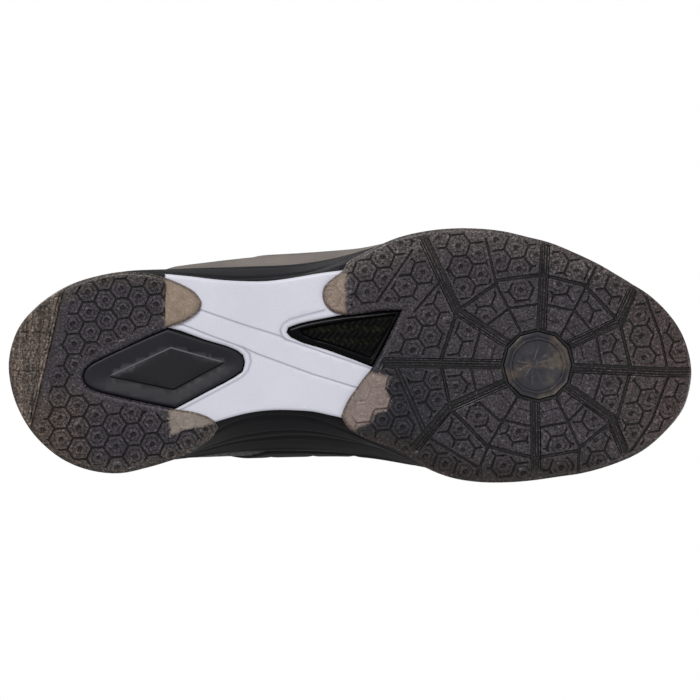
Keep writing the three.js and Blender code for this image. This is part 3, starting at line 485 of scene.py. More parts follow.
def relief(name, outline, plan, face, top, mats, holes=(), grid=3.0, zone=None, tint=None, attrs=None, **kw):
    """A flat piece whose underside is the height field face(P) and whose upper side is top(P)."""
    plan.line(outline, True)
    for h in holes:
        plan.line(h, True)
    lo, hi = outline.min(0), outline.max(0)
    gx, gy = np.meshgrid(np.arange(lo[0], hi[0], grid), np.arange(lo[1], hi[1], grid))
    gx = gx + (np.arange(gx.shape[0]) % 2)[:, None] * grid / 2
    P = np.stack([gx.ravel(), gy.ravel()], -1)
    P = P[inside(P, outline) & (cdist(P, outline, True)[0] > 1.0)]
    V, T = plan.solve(P)
    c = V[T].mean(1)
    ok = inside(c, outline)
    for h in holes:
        ok &= ~inside(c, h)
    T = T[ok]
    used = np.unique(T)
    back = np.full(len(V), -1)
    back[used] = np.arange(len(used))
    V, T = V[used], back[T]
    # area of each triangle; nothing below uses it
    a, b, c3 = V[T[:, 0]], V[T[:, 1]], V[T[:, 2]]
    area = np.abs((b[:, 0] - a[:, 0]) * (c3[:, 1] - a[:, 1]) - (b[:, 1] - a[:, 1]) * (c3[:, 0] - a[:, 0]))
    z = face(V)
    # outline loops
    E = np.concatenate([T[:, [0, 1]], T[:, [1, 2]], T[:, [2, 0]]])
    key = np.sort(E, 1)
    _, inv, cnt = np.unique(key, axis=0, return_inverse=True, return_counts=True)
    B = E[cnt[inv.ravel()] == 1]
    nxt = {int(x): int(y) for x, y in B}
    rims = np.array(sorted(nxt))
    n = len(V)
    pos = {int(r): n + i for i, r in enumerate(rims)}
    cap = [Vector(V[r]) for r in rims]
    idx = {int(r): i for i, r in enumerate(rims)}
    o = delaunay_2d_cdt(cap, [(idx[int(x)], idx[int(y)]) for x, y in B], [], 0, 1e-6)
    CV = np.array([tuple(p) for p in o[0]])
    CT = np.array(o[2])
    cc = CV[CT].mean(1)
    ok = inside(cc, outline)
    for h in holes:
        ok &= ~inside(cc, h)
    CT = CT[ok]
    rim_of = np.array([n + (s[0] if len(s) else 0) for s in o[3]])
    CT = rim_of[CT]
    side = np.array([[x, y, pos[int(y)], pos[int(x)]] for x, y in B])
    v3 = np.concatenate([np.column_stack([V, z]), np.column_stack([V[rims], top(V[rims])])])
    # underside faces down
    tri = T[:, ::-1]
    side3 = np.concatenate([side[:, [0, 1, 2]], side[:, [0, 2, 3]]])
    F = np.concatenate([tri, side3, CT])
    corner = None
    if tint is not None:
        cen = np.concatenate([V[T].mean(1), V[side[:, 0]], V[side[:, 0]], V[rims[np.clip(CT[:, 0] - n, 0, len(rims) - 1)]]])
        zf = zone(cen) if zone else np.zeros(len(cen))
        flat = F.ravel()
        xy = v3[flat][:, :2]
        depth = v3[flat][:, 2] - tread(xy[:, 0], xy[:, 1])
        corner = {"col": tint(xy, depth, np.repeat(zf, 3))}
    fm = kw.pop("fmat", None)
    return build(name, v3, [F], mats, corner=corner, orient=False, fmat=None if fm is None else fm(F, v3), **kw)


# ------------------------------------------------------------------ materials
class Mat:
    def __init__(self, name, base=None, rough=0.5, **kw):
        self.m = bpy.data.materials.new(name)
        self.m.use_nodes = True
        self.t = self.m.node_tree
        self.b = self.t.nodes["Principled BSDF"]
        if base:
            self.b.inputs["Base Color"].default_value = base
        self.b.inputs["Roughness"].default_value = rough
        for k, v in kw.items():
            self.b.inputs[k.replace("_", " ")].default_value = v
        self.co = None

    def node(self, kind, **props):
        n = self.t.nodes.new(kind)
        for k, v in props.items():
            setattr(n, k, v)
        return n

    def put(self, sock, val):
        if isinstance(val, bpy.types.NodeSocket):
            self.t.links.new(val, sock)
        else:
            sock.default_value = val

    def where(self, scale=(1, 1, 1), turn=0.0):
        if self.co is None:
            self.co = self.node("ShaderNodeTexCoord").outputs["Object"]
        if scale == (1, 1, 1) and not turn:
            return self.co
        m = self.node("ShaderNodeMapping")
        self.put(m.inputs["Vector"], self.co)
        m.inputs["Rotation"].default_value = (0, 0, turn)
        m.inputs["Scale"].default_value = scale
        return m.outputs[0]

    def attr(self, name, out="Vector"):
        n = self.node("ShaderNodeAttribute", attribute_name=name)
        return n.outputs[out]

    def noise(self, scale, detail=3, rough=0.55, vec=None):
        n = self.node("ShaderNodeTexNoise")
        self.put(n.inputs["Vector"], vec or self.where())
        n.inputs["Scale"].default_value = scale
        n.inputs["Detail"].default_value = detail
        n.inputs["Roughness"].default_value = rough
        return n.outputs["Fac"]

    def voronoi(self, scale, feature="F1", vec=None, random=1.0):
        n = self.node("ShaderNodeTexVoronoi", feature=feature)
        self.put(n.inputs["Vector"], vec or self.where())
        n.inputs["Scale"].default_value = scale
        if "Randomness" in n.inputs:
            n.inputs["Randomness"].default_value = random
        return n.outputs["Distance"]

    def math(self, op, a, b=0.0, c=None):
        n = self.node("ShaderNodeMath", operation=op)
        self.put(n.inputs[0], a)
        self.put(n.inputs[1], b)
        if c is not None:
            self.put(n.inputs[2], c)
        return n.outputs[0]

    def span(self, v, a, b, c=0.0, d=1.0):
        n = self.node("ShaderNodeMapRange")
        self.put(n.inputs["Value"], v)
        for k, x in zip(("From Min", "From Max", "To Min", "To Max"), (a, b, c, d)):
            self.put(n.inputs[k], x)
        return n.outputs[0]

    def mix(self, f, a, b, kind="MIX"):
        n = self.node("ShaderNodeMix", data_type="RGBA", blend_type=kind)
        self.put(n.inputs["Factor"], f)
        self.put(n.inputs["A"] if not isinstance(a, (tuple, bpy.types.NodeSocket)) else n.inputs[6], a)
        self.put(n.inputs[7], b)
        return n.outputs[2]

    def grey(self, v):
        n = self.node("ShaderNodeCombineColor")
        for k in range(3):
            self.put(n.inputs[k], v)
        return n.outputs[0]

    def base(self, col):
        self.put(self.b.inputs["Base Color"], col)
        return self

    def rough(self, v):
        self.put(self.b.inputs["Roughness"], v)
        return self

    def bump(self, h, dist=0.0002, strength=1.0, prev=None):
        n = self.node("ShaderNodeBump")
        self.put(n.inputs["Height"], h)
        n.inputs["Distance"].default_value = dist
        n.inputs["Strength"].default_value = strength
        if prev is not None:
            self.put(n.inputs["Normal"], prev)
        self.put(self.b.inputs["Normal"], n.outputs[0])
        return n.outputs[0]


def rubber():
    k = Mat("smoke_rubber", rough=0.42, Specular_IOR_Level=0.4)
    col = k.attr("col", "Color")
    fine = k.noise(1150, 2, 0.7)
    dots = k.noise(720, 3, 0.75)
    blotch = k.noise(190, 4, 0.6)
    # mould flow streaks on the heel bevel, along its edge
    flow = k.noise(1, 5, 0.7, k.where((420, 30, 60), 0.2315))
    al = k.attr("col", "Alpha")
    f1 = k.span(fine, 0.38, 0.62, 0.2, 1.8)
    f2 = k.span(blotch, 0.3, 0.7, 0.84, 1.16)
    f3 = k.span(dots, 0.52, 0.68, 0.85, 2.7)
    # the clear rubber over the shank is smooth, the smoke-dark rubber is grainy
    amp = k.span(col, 0.06, 0.16, 1.0, 0.16)
    grain = k.math("ADD", 1.0, k.math("MULTIPLY", k.math("SUBTRACT", k.math("MULTIPLY", f1, f3), 1.0), amp))
    m = k.math("MULTIPLY", grain, f2)
    streak = k.span(flow, 0.36, 0.64, 0.35, 1.9)
    s = k.math("ADD", 1.0, k.math("MULTIPLY", k.math("SUBTRACT", streak, 1.0), k.math("SUBTRACT", 1.0, al)))
    k.base(k.mix(1.0, col, k.grey(k.math("MULTIPLY", m, s)), "MULTIPLY"))
    k.rough(k.span(blotch, 0.3, 0.7, 0.34, 0.52))
    n = k.bump(dots, 0.00012, 0.5)
    k.bump(fine, 0.00006, 0.6, n)
    return k.m


def disc_rubber():
    k = Mat("disc_rubber", rough=0.3, Coat_Weight=0.12, Coat_Roughness=0.25)
    cloud = k.noise(95, 4, 0.6)
    cloud2 = k.noise(260, 3, 0.6)
    fine = k.noise(2400, 2, 0.6)
    c = k.mix(k.span(cloud, 0.47, 0.6), lin(43, 41, 48), lin(84, 74, 66))
    c = k.mix(k.span(cloud2, 0.5, 0.72), c, lin(33, 32, 37))
    k.base(k.mix(1.0, c, k.grey(k.span(fine, 0.3, 0.7, 0.85, 1.15)), "MULTIPLY"))
    k.rough(k.span(cloud2, 0.3, 0.7, 0.24, 0.42))
    k.bump(cloud2, 0.0002, 0.3)
    return k.m


def plain(name, a, b, rough=(0.4, 0.5), grain=900, depth=0.00005, patch=60, **kw):
    """Moulded or foamed plastic: two near tones, an uneven finish and a fine grain."""
    k = Mat(name, **kw)
    big, small = k.noise(patch, 4, 0.6), k.noise(grain, 3, 0.65)
    c = k.mix(k.span(big, 0.35, 0.65), a, b)
    k.base(k.mix(1.0, c, k.grey(k.span(small, 0.3, 0.7, 0.93, 1.07)), "MULTIPLY"))
    k.rough(k.span(big, 0.3, 0.7, rough[0], rough[1]))
    k.bump(small, depth, 0.5)
    return k.m


def tinted(name, rough, grain, depth, spec):
    """Moulded plastic whose tone comes from the "col" attribute."""
    k = Mat(name, Specular_IOR_Level=spec)
    big, small = k.noise(30, 4, 0.6), k.noise(grain, 3, 0.6)
    c = k.mix(1.0, k.attr("col", "Color"), k.grey(k.math("MULTIPLY", k.span(big, 0.3, 0.7, 0.97, 1.03), k.span(small, 0.3, 0.7, 0.97, 1.03))), "MULTIPLY")
    k.base(c)
    k.rough(k.span(big, 0.3, 0.7, rough[0], rough[1]))
    k.bump(small, depth, 0.5)
    return k.m


def foam(name, a, b, cell=1100, depth=0.00015, rough=(0.75, 0.9), spec=0.5):
    k = Mat(name, Specular_IOR_Level=spec)
    pores = k.voronoi(cell)
    big = k.noise(80, 3)
    c = k.mix(k.span(big, 0.35, 0.65), a, b)
    k.base(k.mix(1.0, c, k.grey(k.span(pores, 0.0, 0.7, 0.75, 1.08)), "MULTIPLY"))
    k.rough(k.span(big, 0.3, 0.7, *rough))
    k.bump(pores, depth, 0.6)
    return k.m


def carbon():
    """2/2 twill under clear gloss: tows 1.9 mm wide, crossing at 45 degrees."""
    k = Mat("carbon", rough=0.3, Coat_Weight=0.05, Coat_Roughness=0.06, Specular_IOR_Level=0.08)
    patchy = k.span(k.noise(420, 3, 0.7), 0.44, 0.62, 0.25, 2.2)
    sep = k.node("ShaderNodeSeparateXYZ")
    k.put(sep.inputs[0], k.where((520, 520, 520), 0.785))
    u, v = sep.outputs[0], sep.outputs[1]
    fu, fv = k.math("FLOOR", u), k.math("FLOOR", v)
    w = k.math("WRAP", k.math("ADD", fu, k.math("MULTIPLY", fv, -1.0)), 4.0, 0.0)
    over = k.math("LESS_THAN", w, 1.5)
    ru, rv = k.math("FRACT", u), k.math("FRACT", v)
    arch = lambda r: k.math("SINE", k.math("MULTIPLY", r, math.pi))
    hump = k.math("ADD", k.math("MULTIPLY", over, arch(ru)), k.math("MULTIPLY", k.math("SUBTRACT", 1.0, over), arch(rv)))
    threads = k.noise(1, 2, 0.5, k.where((9000, 700, 700), 0.785))
    threads2 = k.noise(1, 2, 0.5, k.where((700, 9000, 700), 0.785))
    fib = k.math("ADD", k.math("MULTIPLY", over, threads), k.math("MULTIPLY", k.math("SUBTRACT", 1.0, over), threads2))
    # painted sheen: tows running one way are coloured lighter olive than those running the other way, and each tow is
    # lighter along its crown; the fibre streaks and patches mixed in are the sheet's own tone
    tone = k.math("MULTIPLY", hump, k.span(fib, 0.3, 0.7, 0.4, 1.6))
    c = k.mix(over, lin(2, 2, 3), lin(20, 19, 11))
    k.base(k.mix(1.0, c, k.grey(k.math("MULTIPLY", patchy, k.span(tone, 0.0, 1.6, 0.15, 1.8))), "MULTIPLY"))
    k.b.inputs["Metallic"].default_value = 0.0
    k.rough(k.span(fib, 0.3, 0.7, 0.22, 0.42))
    k.bump(hump, 0.0002, 0.5)
    return k.m


def knit(name, yarn, gap, shade=1.0, cell=0.0034, rough=(0.8, 0.95), metal=0.0):
    """Engineered mesh: yarns round small openings. The 'st' attribute holds metres along and up the cloth."""
    k = Mat(name, Sheen_Weight=0.25, Sheen_Roughness=0.4)
    st = k.attr("st")
    sc = k.node("ShaderNodeMapping")
    k.put(sc.inputs["Vector"], st)
    sc.inputs["Scale"].default_value = (1 / 0.0011, 1 / 0.0009, 1.0)
    sep = k.node("ShaderNodeSeparateXYZ")
    k.put(sep.inputs[0], sc.outputs[0])
    x, y = sep.outputs[0], sep.outputs[1]
    # rows of small vee loops
    vee = k.math("ABSOLUTE", k.math("SUBTRACT", k.math("FRACT", x), 0.5))
    loops = k.math("SINE", k.math("MULTIPLY", k.math("ADD", y, k.math("MULTIPLY", vee, 1.3)), 2 * math.pi))
    wale = k.math("SINE", k.math("MULTIPLY", k.math("FRACT", x), math.pi))
    h = k.math("MULTIPLY", k.math("ADD", k.math("MULTIPLY", loops, 0.5), 0.5), wale)
    hole = k.attr("hole", "Fac")
    fuzz = k.noise(3200, 3, 0.7)
    tone = k.noise(70, 3)
    c = k.mix(k.span(h, 0.05, 0.6), gap, yarn)
    c = k.mix(hole, c, gap)
    c = k.mix(1.0, c, k.grey(k.math("MULTIPLY", k.span(fuzz, 0.3, 0.7, 0.78, 1.22), k.span(tone, 0.3, 0.7, 0.9, 1.1))), "MULTIPLY")
    k.base(c)
    k.b.inputs["Metallic"].default_value = metal
    k.rough(k.span(fuzz, 0.3, 0.7, *rough))
    n = k.bump(h, 0.00022, 0.8)
    k.bump(fuzz, 0.00006, 0.6, n)
    return k.m


def film(name, a, b, metal, rough, coat=0.15, spec=0.5):
    """Welded overlay: satin film with a fine diagonal emboss and a slight pearl."""
    k = Mat(name, Coat_Weight=coat, Coat_Roughness=0.3, Specular_IOR_Level=spec)
    st = k.attr("st")
    sep = k.node("ShaderNodeSeparateXYZ")
    k.put(sep.inputs[0], st)
    d1 = k.math("SINE", k.math("MULTIPLY", k.math("ADD", sep.outputs[0], sep.outputs[1]), 2 * math.pi / 0.0012))
    d2 = k.math("SINE", k.math("MULTIPLY", k.math("SUBTRACT", sep.outputs[0], sep.outputs[1]), 2 * math.pi / 0.0012))
    em = k.math("MULTIPLY", d1, d2)
    big, fine = k.noise(45, 4, 0.6), k.noise(1500, 3, 0.6)
    c = k.mix(k.span(big, 0.35, 0.65), a, b)
    k.base(k.mix(1.0, c, k.grey(k.span(fine, 0.3, 0.7, 0.9, 1.1)), "MULTIPLY"))
    k.b.inputs["Metallic"].default_value = metal
    k.rough(k.span(big, 0.3, 0.7, rough, rough + 0.14))
    n = k.bump(em, 0.00006, 0.4)
    k.bump(fine, 0.00004, 0.5, n)
    return k.m


def board(name):
    k = Mat(name)
    fib, fine = k.noise(420, 5, 0.75), k.noise(2200, 3, 0.6)
    k.base(k.mix(k.span(fib, 0.35, 0.65), lin(176, 168, 152), lin(205, 198, 183)))
    k.rough(k.span(fib, 0.3, 0.7, 0.8, 0.95))
    k.bump(fine, 0.0001, 0.5)
    return k.m


M = {
    "rubber": rubber(),
    "disc": disc_rubber(),
    "white": tinted("white_tpu", (0.32, 0.42), 1400, 0.00002, 0.5),
    "tpu": tinted("black_tpu", (0.42, 0.52), 2200, 0.00005, 0.3),
    "frame": plain("frame_black", lin(5, 5, 8), lin(9, 9, 12), (0.24, 0.34), 500, 0.00002, 60, Specular_IOR_Level=0.12),
    "gloss": plain("gloss_black_tpu", lin(26, 26, 30), lin(33, 32, 38), (0.14, 0.24), 500, 0.00002, 60, Coat_Weight=0.6, Coat_Roughness=0.08),
    "carbon": carbon(),
    "eva": foam("eva_black", lin(19, 18, 22), lin(26, 25, 30), 1500, 0.00005, (0.46, 0.6), 0.2),
    "foam": foam("foam_grey", lin(120, 120, 116), lin(136, 136, 132)),
    "board": board("board_fibre"),
    "mesh": knit("mesh_charcoal", lin(58, 54, 53), lin(18, 17, 18)),
    "lining": knit("lining_black", lin(30, 30, 33), lin(12, 12, 14)),
    "knit": knit("knit_black", lin(34, 34, 37), lin(13, 13, 15)),
    "lace": knit("lace_black", lin(30, 29, 31), lin(9, 9, 10)),
    "taupe": film("film_taupe", lin(110, 102, 97), lin(127, 118, 112), 0.15, 0.5),
    "film": film("film_black", lin(20, 19, 22), lin(29, 27, 30), 0.0, 0.46, 0.0, 0.2),
    "thread": plain("thread_grey", lin(72, 68, 66), lin(92, 87, 84), (0.6, 0.75), 3500, 0.00008, 400),
}

# ------------------------------------------------------------------ outsole
mm = lambda pts: A_(pts)
# wide channels: a groove and two fine ribs; the sign says on which side the ribs run
WIDE = [
    (mm([[82.9, -10.0], [84.6, -47.4]]), 1),
    (mm([[68.0, -5.1], [46.6, -19.1], [32.1, -50.2]]), -1),
    (mm([[66.2, 3.8], [15.0, 3.0]]), 1),
    (mm([[68.0, 11.6], [42.9, 22.6], [28.2, 40.0]]), -1),
    (mm([[80.2, 19.0], [80.6, 49.0]]), -1),
    (mm([[95.4, -4.8], [116.9, -14.7], [122.6, -28.0]]), -1),
    (mm([[96.6, 5.4], [137.8, 7.3], [148.0, 7.3]]), 1),
    (mm([[93.6, 13.3], [113.2, 27.1], [118.9, 41.0]]), 1),
]
THIN = [
    mm([[74.2, -9.6], [69.0, -20.0], [63.4, -30.8], [58.9, -50.5]]),
    mm([[72.6, 18.0], [65.3, 30.1], [60.0, 39.1], [55.2, 51.0]]),
    mm([[90.9, -7.6], [97.1, -19.6], [102.7, -30.4], [107.0, -39.2]]),
    mm([[89.4, 18.6], [94.5, 28.6], [99.3, 39.1], [98.9, 51.8]]),
]
RING3 = [mm(q) for q in ([[69.0, -20.5], [81.6, -22.3]], [[58.2, -12.2], [69.4, -20.8]], [[52.8, 2.4], [56.6, -11.2]], [[52.4, 5.2], [55.1, 17.3]], [[56.0, 20.2], [66.0, 29.4]], [[66.2, 27.9], [79.6, 31.0]], [[84.8, -22.0], [97.2, -19.5]], [[97.1, -20.0], [105.4, -10.0]], [[106.9, -8.9], [109.3, 5.0]], [[109.4, 7.6], [105.8, 20.0]], [[101.9, 21.3], [94.5, 28.6]], [[94.6, 28.8], [82.6, 31.1]])]
RING4 = [mm(q) for q in ([[63.4, -32.5], [82.6, -35.0]], [[48.5, -20.7], [63.4, -31.1]], [[46.3, -18.7], [39.1, 2.6]], [[39.7, 5.2], [43.7, 23.4]], [[44.8, 24.2], [60.0, 39.8]], [[59.6, 39.3], [80.4, 44.5]], [[83.4, -35.0], [103.0, -30.3]], [[102.3, -30.0], [116.2, -15.3]], [[117.1, -14.8], [122.1, 6.2]], [[121.7, 7.4], [116.1, 26.9]], [[114.6, 27.9], [99.6, 39.9]], [[99.2, 41.2], [80.4, 44.5]])]
MORE = [mm(q) for q in ([[28.0, -19.1], [39.2, -32.3]], [[11.6, -23.2], [27.2, -45.8]], [[35.0, 36.0], [57.0, 49.2]], [[105.0, -27.0], [112.0, -18.9]])]
TOE = [mm([[127.2, -29.6], [135.2, -8.0], [138.2, 6.0]]), mm([[138.6, 9.0], [131.1, 28.6], [122.8, 40.6]])]
DOUBLE = mm([[20.2, 5.4], [32.8, 34.0]])
FORE = rounded(FORE_POD, 4)
HEEL = rounded(HEEL_POD, 4)
ang = np.radians([0, 30, 60, 90, 120, 150, 180, 210, 240, 270, 300, 330])


def dodecagon(r, spin=0.0):
    return HUB + r * np.stack([np.cos(ang + spin), -np.sin(ang + spin)], -1)


# the pads between hub and third ring are split by one fine line each
SPLIT = []
for k in range(12):
    a, b = ang[k], ang[(k + 1) % 12]
    d = np.radians(5.2)
    SPLIT.append(HUB + 20.4 * A_([[math.cos(a + d), -math.sin(a + d)], [math.cos(b - d), -math.sin(b - d)]]))
GROOVES = [(q, 0.58, 0.95, 0.28) for q in THIN] + [(q, 0.55, 0.85, 0.28) for q in RING3] + [(q, 0.85, 0.75, 0.5) for q in RING4] + [(q, 0.55, 0.8, 0.3) for q in MORE] + [(q, 0.6, 0.9, 0.3) for q in TOE]
GROOVES += [(offset_line(DOUBLE, 0.75), 0.42, 0.75, 0.2), (offset_line(DOUBLE, -0.75), 0.42, 0.75, 0.2)]
SPLITS = [(q, 0.3, 0.4, 0.18) for q in SPLIT]
RIBS = [-2.25, -2.05, -1.05, -0.85, -0.5, -0.3, 0.1, 0.3, 0.65, 0.85, 1.25, 1.45, 1.8, 2.0, 2.25]
RIBZ = [0.0, 1.0, 1.0, 0.34, 0.34, 0.85, 0.85, 0.26, 0.26, 0.85, 0.85, 0.14, 0.14, 0.95, 0.0]


def lattice_cells(centres, reach, insets):
    out = []
    for c in centres:
        near = [o for o in centres if 0.1 < np.hypot(*(o - c)) < reach * 1.9]
        rings = []
        for s in insets:
            poly = [c + reach * 0.95 * np.array([x, y]) for x, y in ((-1, -1), (1, -1), (1, 1), (-1, 1))]
            for o in near:
                n = (o - c) / np.hypot(*(o - c))
                lim = np.hypot(*(o - c)) / 2 - s
                nxt = []
                for i in range(len(poly)):
                    p, q = poly[i - 1], poly[i]
                    dp, dq = (p - c) @ n - lim, (q - c) @ n - lim
                    if (dp <= 0) != (dq <= 0):
                        nxt.append(p + (q - p) * dp / (dp - dq))
                    if dq <= 0:
                        nxt.append(q)
                poly = nxt
                if len(poly) < 3:
                    break
            rings.append(np.array(poly))
        out.append((c, rings))
    return out


def cell_edge(P, centres):
    """Distance from each point to its cell's edge, and to its cell's centre."""
    D = np.hypot(P[:, None, 0] - centres[None, :, 0], P[:, None, 1] - centres[None, :, 1])
    i = D.argmin(1)
    c = centres[i]
    near = D.min(1)
    best = np.full(len(P), 9.0)
    for j in range(len(centres)):
        o = centres[j]
        n = o - c
        l = np.hypot(n[:, 0], n[:, 1])
        ok = (l > 0.1) & (l < 16)
        d = l / 2 - ((P - c) * n).sum(1) / np.maximum(l, 1e-6)
        best = np.where(ok, np.minimum(best, d), best)
    return best, near, i


def along(pts, step):
    out = [pts[0]]
    for p, q in zip(pts[:-1], pts[1:]):
        k = max(1, int(math.ceil(np.hypot(*(q - p)) / step)))
        out += [p + (q - p) * (i + 1) / k for i in range(k)]
    return np.array(out)


def hex_lines(plan, cells, keep, pits):
    for c, rings in cells:
        for k, ring in enumerate(rings):
            if len(ring) < 3:
                continue
            pts = along(np.vstack([ring, ring[:1]]), 1.9)
            mid = (pts[:-1] + pts[1:]) / 2
            ok = keep(mid)
            run = []
            for i in range(len(mid)):
                if ok[i]:
                    if not run:
                        run = [pts[i]]
                    run.append(pts[i + 1])
                elif run:
                    plan.line(run)
                    run = []
            if run:
                plan.line(run)
    for (c, _), k in zip(cells, pits):
        if k < 0.3:
            continue
        for r in (1.4, 0.95, 0.5, 1.7):
            a = np.linspace(0, 2 * math.pi, 11)[:-1]
            plan.line(np.stack([c[0] + r * np.cos(a), c[1] + r * np.sin(a)], -1), True)


def hex_depth(P, centres, fade, pit_fade):
    edge, near, i = cell_edge(P, centres)
    line = 0.75 * (1 - smooth(0.18, 0.46, edge))
    pit = 0.75 * (1 - smooth(0.5, 1.4, near))
    # a second, finer hexagon and a raised ring sit inside each cell
    inner = 0.26 * np.clip(1 - np.abs(edge - 1.9) / 0.25, 0, 1)
    dish = 0.08 * (1 - smooth(1.9, 2.2, edge) * 0) * smooth(1.9, 2.2, edge) * smooth(1.4, 1.75, near)
    return np.maximum(line * fade, np.maximum(pit, np.maximum(inner, dish)) * pit_fade[i])


def groove_depth(P, grooves):
    best = np.zeros(len(P))
    gap = np.full(len(P), 99.0)
    for q, hw, dep, slope in grooves:
        d, _ = cdist(P, q)
        best = np.maximum(best, dep * (1 - np.clip((d - hw + slope) / slope, 0, 1)))
        gap = np.minimum(gap, d - hw)
    return best, gap


def wide_depth(P):
    best = np.zeros(len(P))
    gap = np.full(len(P), 99.0)
    for q, s in WIDE:
        d, side = cdist(P, q)
        o = d * side * s
        best = np.maximum(best, np.where(np.abs(o) < 2.25, np.interp(o, RIBS, RIBZ), 0))
        gap = np.minimum(gap, d - 2.25)
    return best, gap


i_, j_ = np.meshgrid(np.arange(-6, 14), np.arange(-9, 14))
FC = np.stack([48 + i_ * 1.08 + j_ * 8.75, -38.5 + i_ * 9.22 + j_ * 3.35], -1).reshape(-1, 2)
FC = FC[(FC[:, 0] > -18) & (FC[:, 0] < 156) & (np.abs(FC[:, 1]) < 62)]
HC = []
for k in range(-5, 7):
    for j in range(-4, 11):
        f = -870 + 849.4 * math.exp(0.01 * (j + (0.5 if k % 2 else 0)))
        s = min(1.2, max(0, (f + 20) / 50))
        y = f - 0.8 * k * (1 - 0.35 * s) + 2.2 * s
        HC.append([-98.5 + 7.35 * k + (y + 20) * (0.084 + 0.0095 * k), y])
HC = A_(HC)
HC = HC[(HC[:, 0] > -152) & (HC[:, 0] < -50) & (HC[:, 1] > -44) & (HC[:, 1] < 58)]


def edge_round(d):
    return 1.15 * np.clip(1 - d / 1.5, 0, 1) ** 2


WIN_EDGE, DIA_EDGE = WINDOW, DIAMOND


PADS = A_([[83, -22.4], [69.2, -20.7], [57.2, -11.6], [52.4, 3.8], [55.4, 18.2], [66.1, 29], [80.6, 31.2], [94.5, 28.8], [105.8, 20.6], [109.6, 6.3], [106.9, -9.6], [97.2, -19.8]])


def fore_fades(P):
    dout = cdist(P, FORE, True)[0]
    g1, gap1 = groove_depth(P, GROOVES)
    g2, gap2 = wide_depth(P)
    gap = np.minimum(gap1, gap2)
    r = np.hypot(P[:, 0] - HUB[0], P[:, 1] - HUB[1])
    a = np.arctan2(P[:, 1] - HUB[1], P[:, 0] - HUB[0])
    poly = r * np.cos((a + math.pi / 12) % (math.pi / 6) - math.pi / 12)  # distance measured square to the twelve sides
    dwin = cdist(P, WINDOW, True)[0]
    fade = smooth(1.5, 2.6, dout) * smooth(0.9, 1.5, gap) * smooth(3.6, 4.6, dwin) * (1 - inside(P, PADS))
    return fade, np.maximum(g1, g2), dout, r, dwin


def fore_face(P):
    fade, g, dout, r, dwin = fore_fades(P)
    s3, _ = groove_depth(P, SPLITS)
    h = hex_depth(P, FC, fade, FORE_PITS)
    tan = inside(P, PLATE)
    h = np.where(tan, h * 0.35, h)
    # hub surround steps down to the disc
    a = np.arctan2(P[:, 1] - HUB[1], P[:, 0] - HUB[0])
    e = (a % (math.pi / 6)) - math.pi / 12
    poly = r * np.cos(e) / math.cos(math.pi / 12)
    hub = 1.2 * (1 - np.clip((poly - 15.95) / 0.5, 0, 1))
    d = np.maximum.reduce([h, g, s3, hub, edge_round(dout)])
    d = np.where(tan, np.minimum(d, 1.3), d)
    return tread(P[:, 0], P[:, 1]) + d


def over_plate(P):
    return np.where(inside(P, grow(PLATE, 0.25)), 2.0, 4.6)


def tint_mix(c, d, f):
    return c + (np.asarray(d, float) - c) * f[:, None]


S = lambda *c: np.array(lin(*c)[:3])


def settle(c):
    """The gloss adds a little light of its own, so the colour underneath is that much deeper."""
    return np.maximum(0.006, (c - 0.013) / 0.97)



def signed(P, Q):
    """Distance to a closed outline, positive inside it."""
    return np.where(inside(P, Q), 1.0, -1.0) * cdist(P, Q, True)[0]


# where the forefoot rubber runs clear over the shank, it follows the hexagons
FORE_CLEAR = A_([[9.5, 7.4], [17.3, 9.3], [15.4, 14.9], [17.9, 19.8], [15.7, 23.7], [10.7, 25.3], [9.0, 29.2], [3.5, 30.9], [1.3, 33.4], [-3.7, 29.8], [-12, 29], [-12, 5], [6, 3]])


def fore_tan(P):
    edge = 0.35 * np.sin(P[:, 1] * 0.9) + 0.2 * np.sin(P[:, 1] * 2.3)
    up = np.minimum(-2.0 + edge - P[:, 0], -12 - P[:, 1])
    return smooth(-0.9, 0.9, np.maximum(up, signed(P, FORE_CLEAR)))


def heel_tan(P):
    edge = 0.4 * np.sin(P[:, 1] * 1.1 + 1) + 0.2 * np.sin(P[:, 1] * 2.7)
    return smooth(-0.8, 0.8, signed(P, PLATE) + edge)


def fore_tint(P, depth, zone):
    dout = cdist(P, FORE, True)[0]
    c = np.repeat(S(62, 58, 62)[None], len(P), 0)
    c = tint_mix(c, S(44, 43, 48), smooth(-20, 20, P[:, 1]) * smooth(60, 20, P[:, 0]))
    # painted light and shade: the toe and the lateral edge band are made lighter, standing in for light shining through
    # the thin rubber, and the medial edge band is made darker, the side away from the light
    c = tint_mix(c, S(74, 64, 62), smooth(100, 142, P[:, 0]) * 0.9)
    c = tint_mix(c, S(84, 78, 77), (1 - smooth(2, 15, dout)) * smooth(-25, -40, P[:, 1]))
    c = tint_mix(c, S(47, 43, 42), (1 - smooth(2, 14, dout)) * smooth(20, 40, P[:, 1]) * smooth(120, 100, P[:, 0]))
    # painted light: a lighter line along the rounded outer rim, kept away from the window
    free = smooth(3.0, 9.0, cdist(P, WINDOW, True)[0])
    c = tint_mix(c, S(90, 82, 79), (1 - smooth(0.0, 1.8, dout)) * 0.6 * free)
    tan = np.repeat(S(141, 124, 113)[None], len(P), 0)
    tan = tint_mix(tan, S(133, 119, 114), smooth(-5, 15, P[:, 1]))
    tan = tint_mix(tan, S(104, 92, 86), 1 - smooth(0.2, 2.4, dout))
    t = fore_tan(P)
    c = c + (tan - c) * t[:, None]
    # painted shade: the colour is darkened with groove depth, less in the clear tan zones and not at the outer edge,
    # for shade in the grooves and pits
    g = 1 - (0.66 - 0.4 * t) * smooth(0.2, 0.65, depth) * (depth < 2.5) * smooth(0.6, 1.6, dout)
    return np.column_stack([settle(c * g[:, None]), np.ones(len(P))])


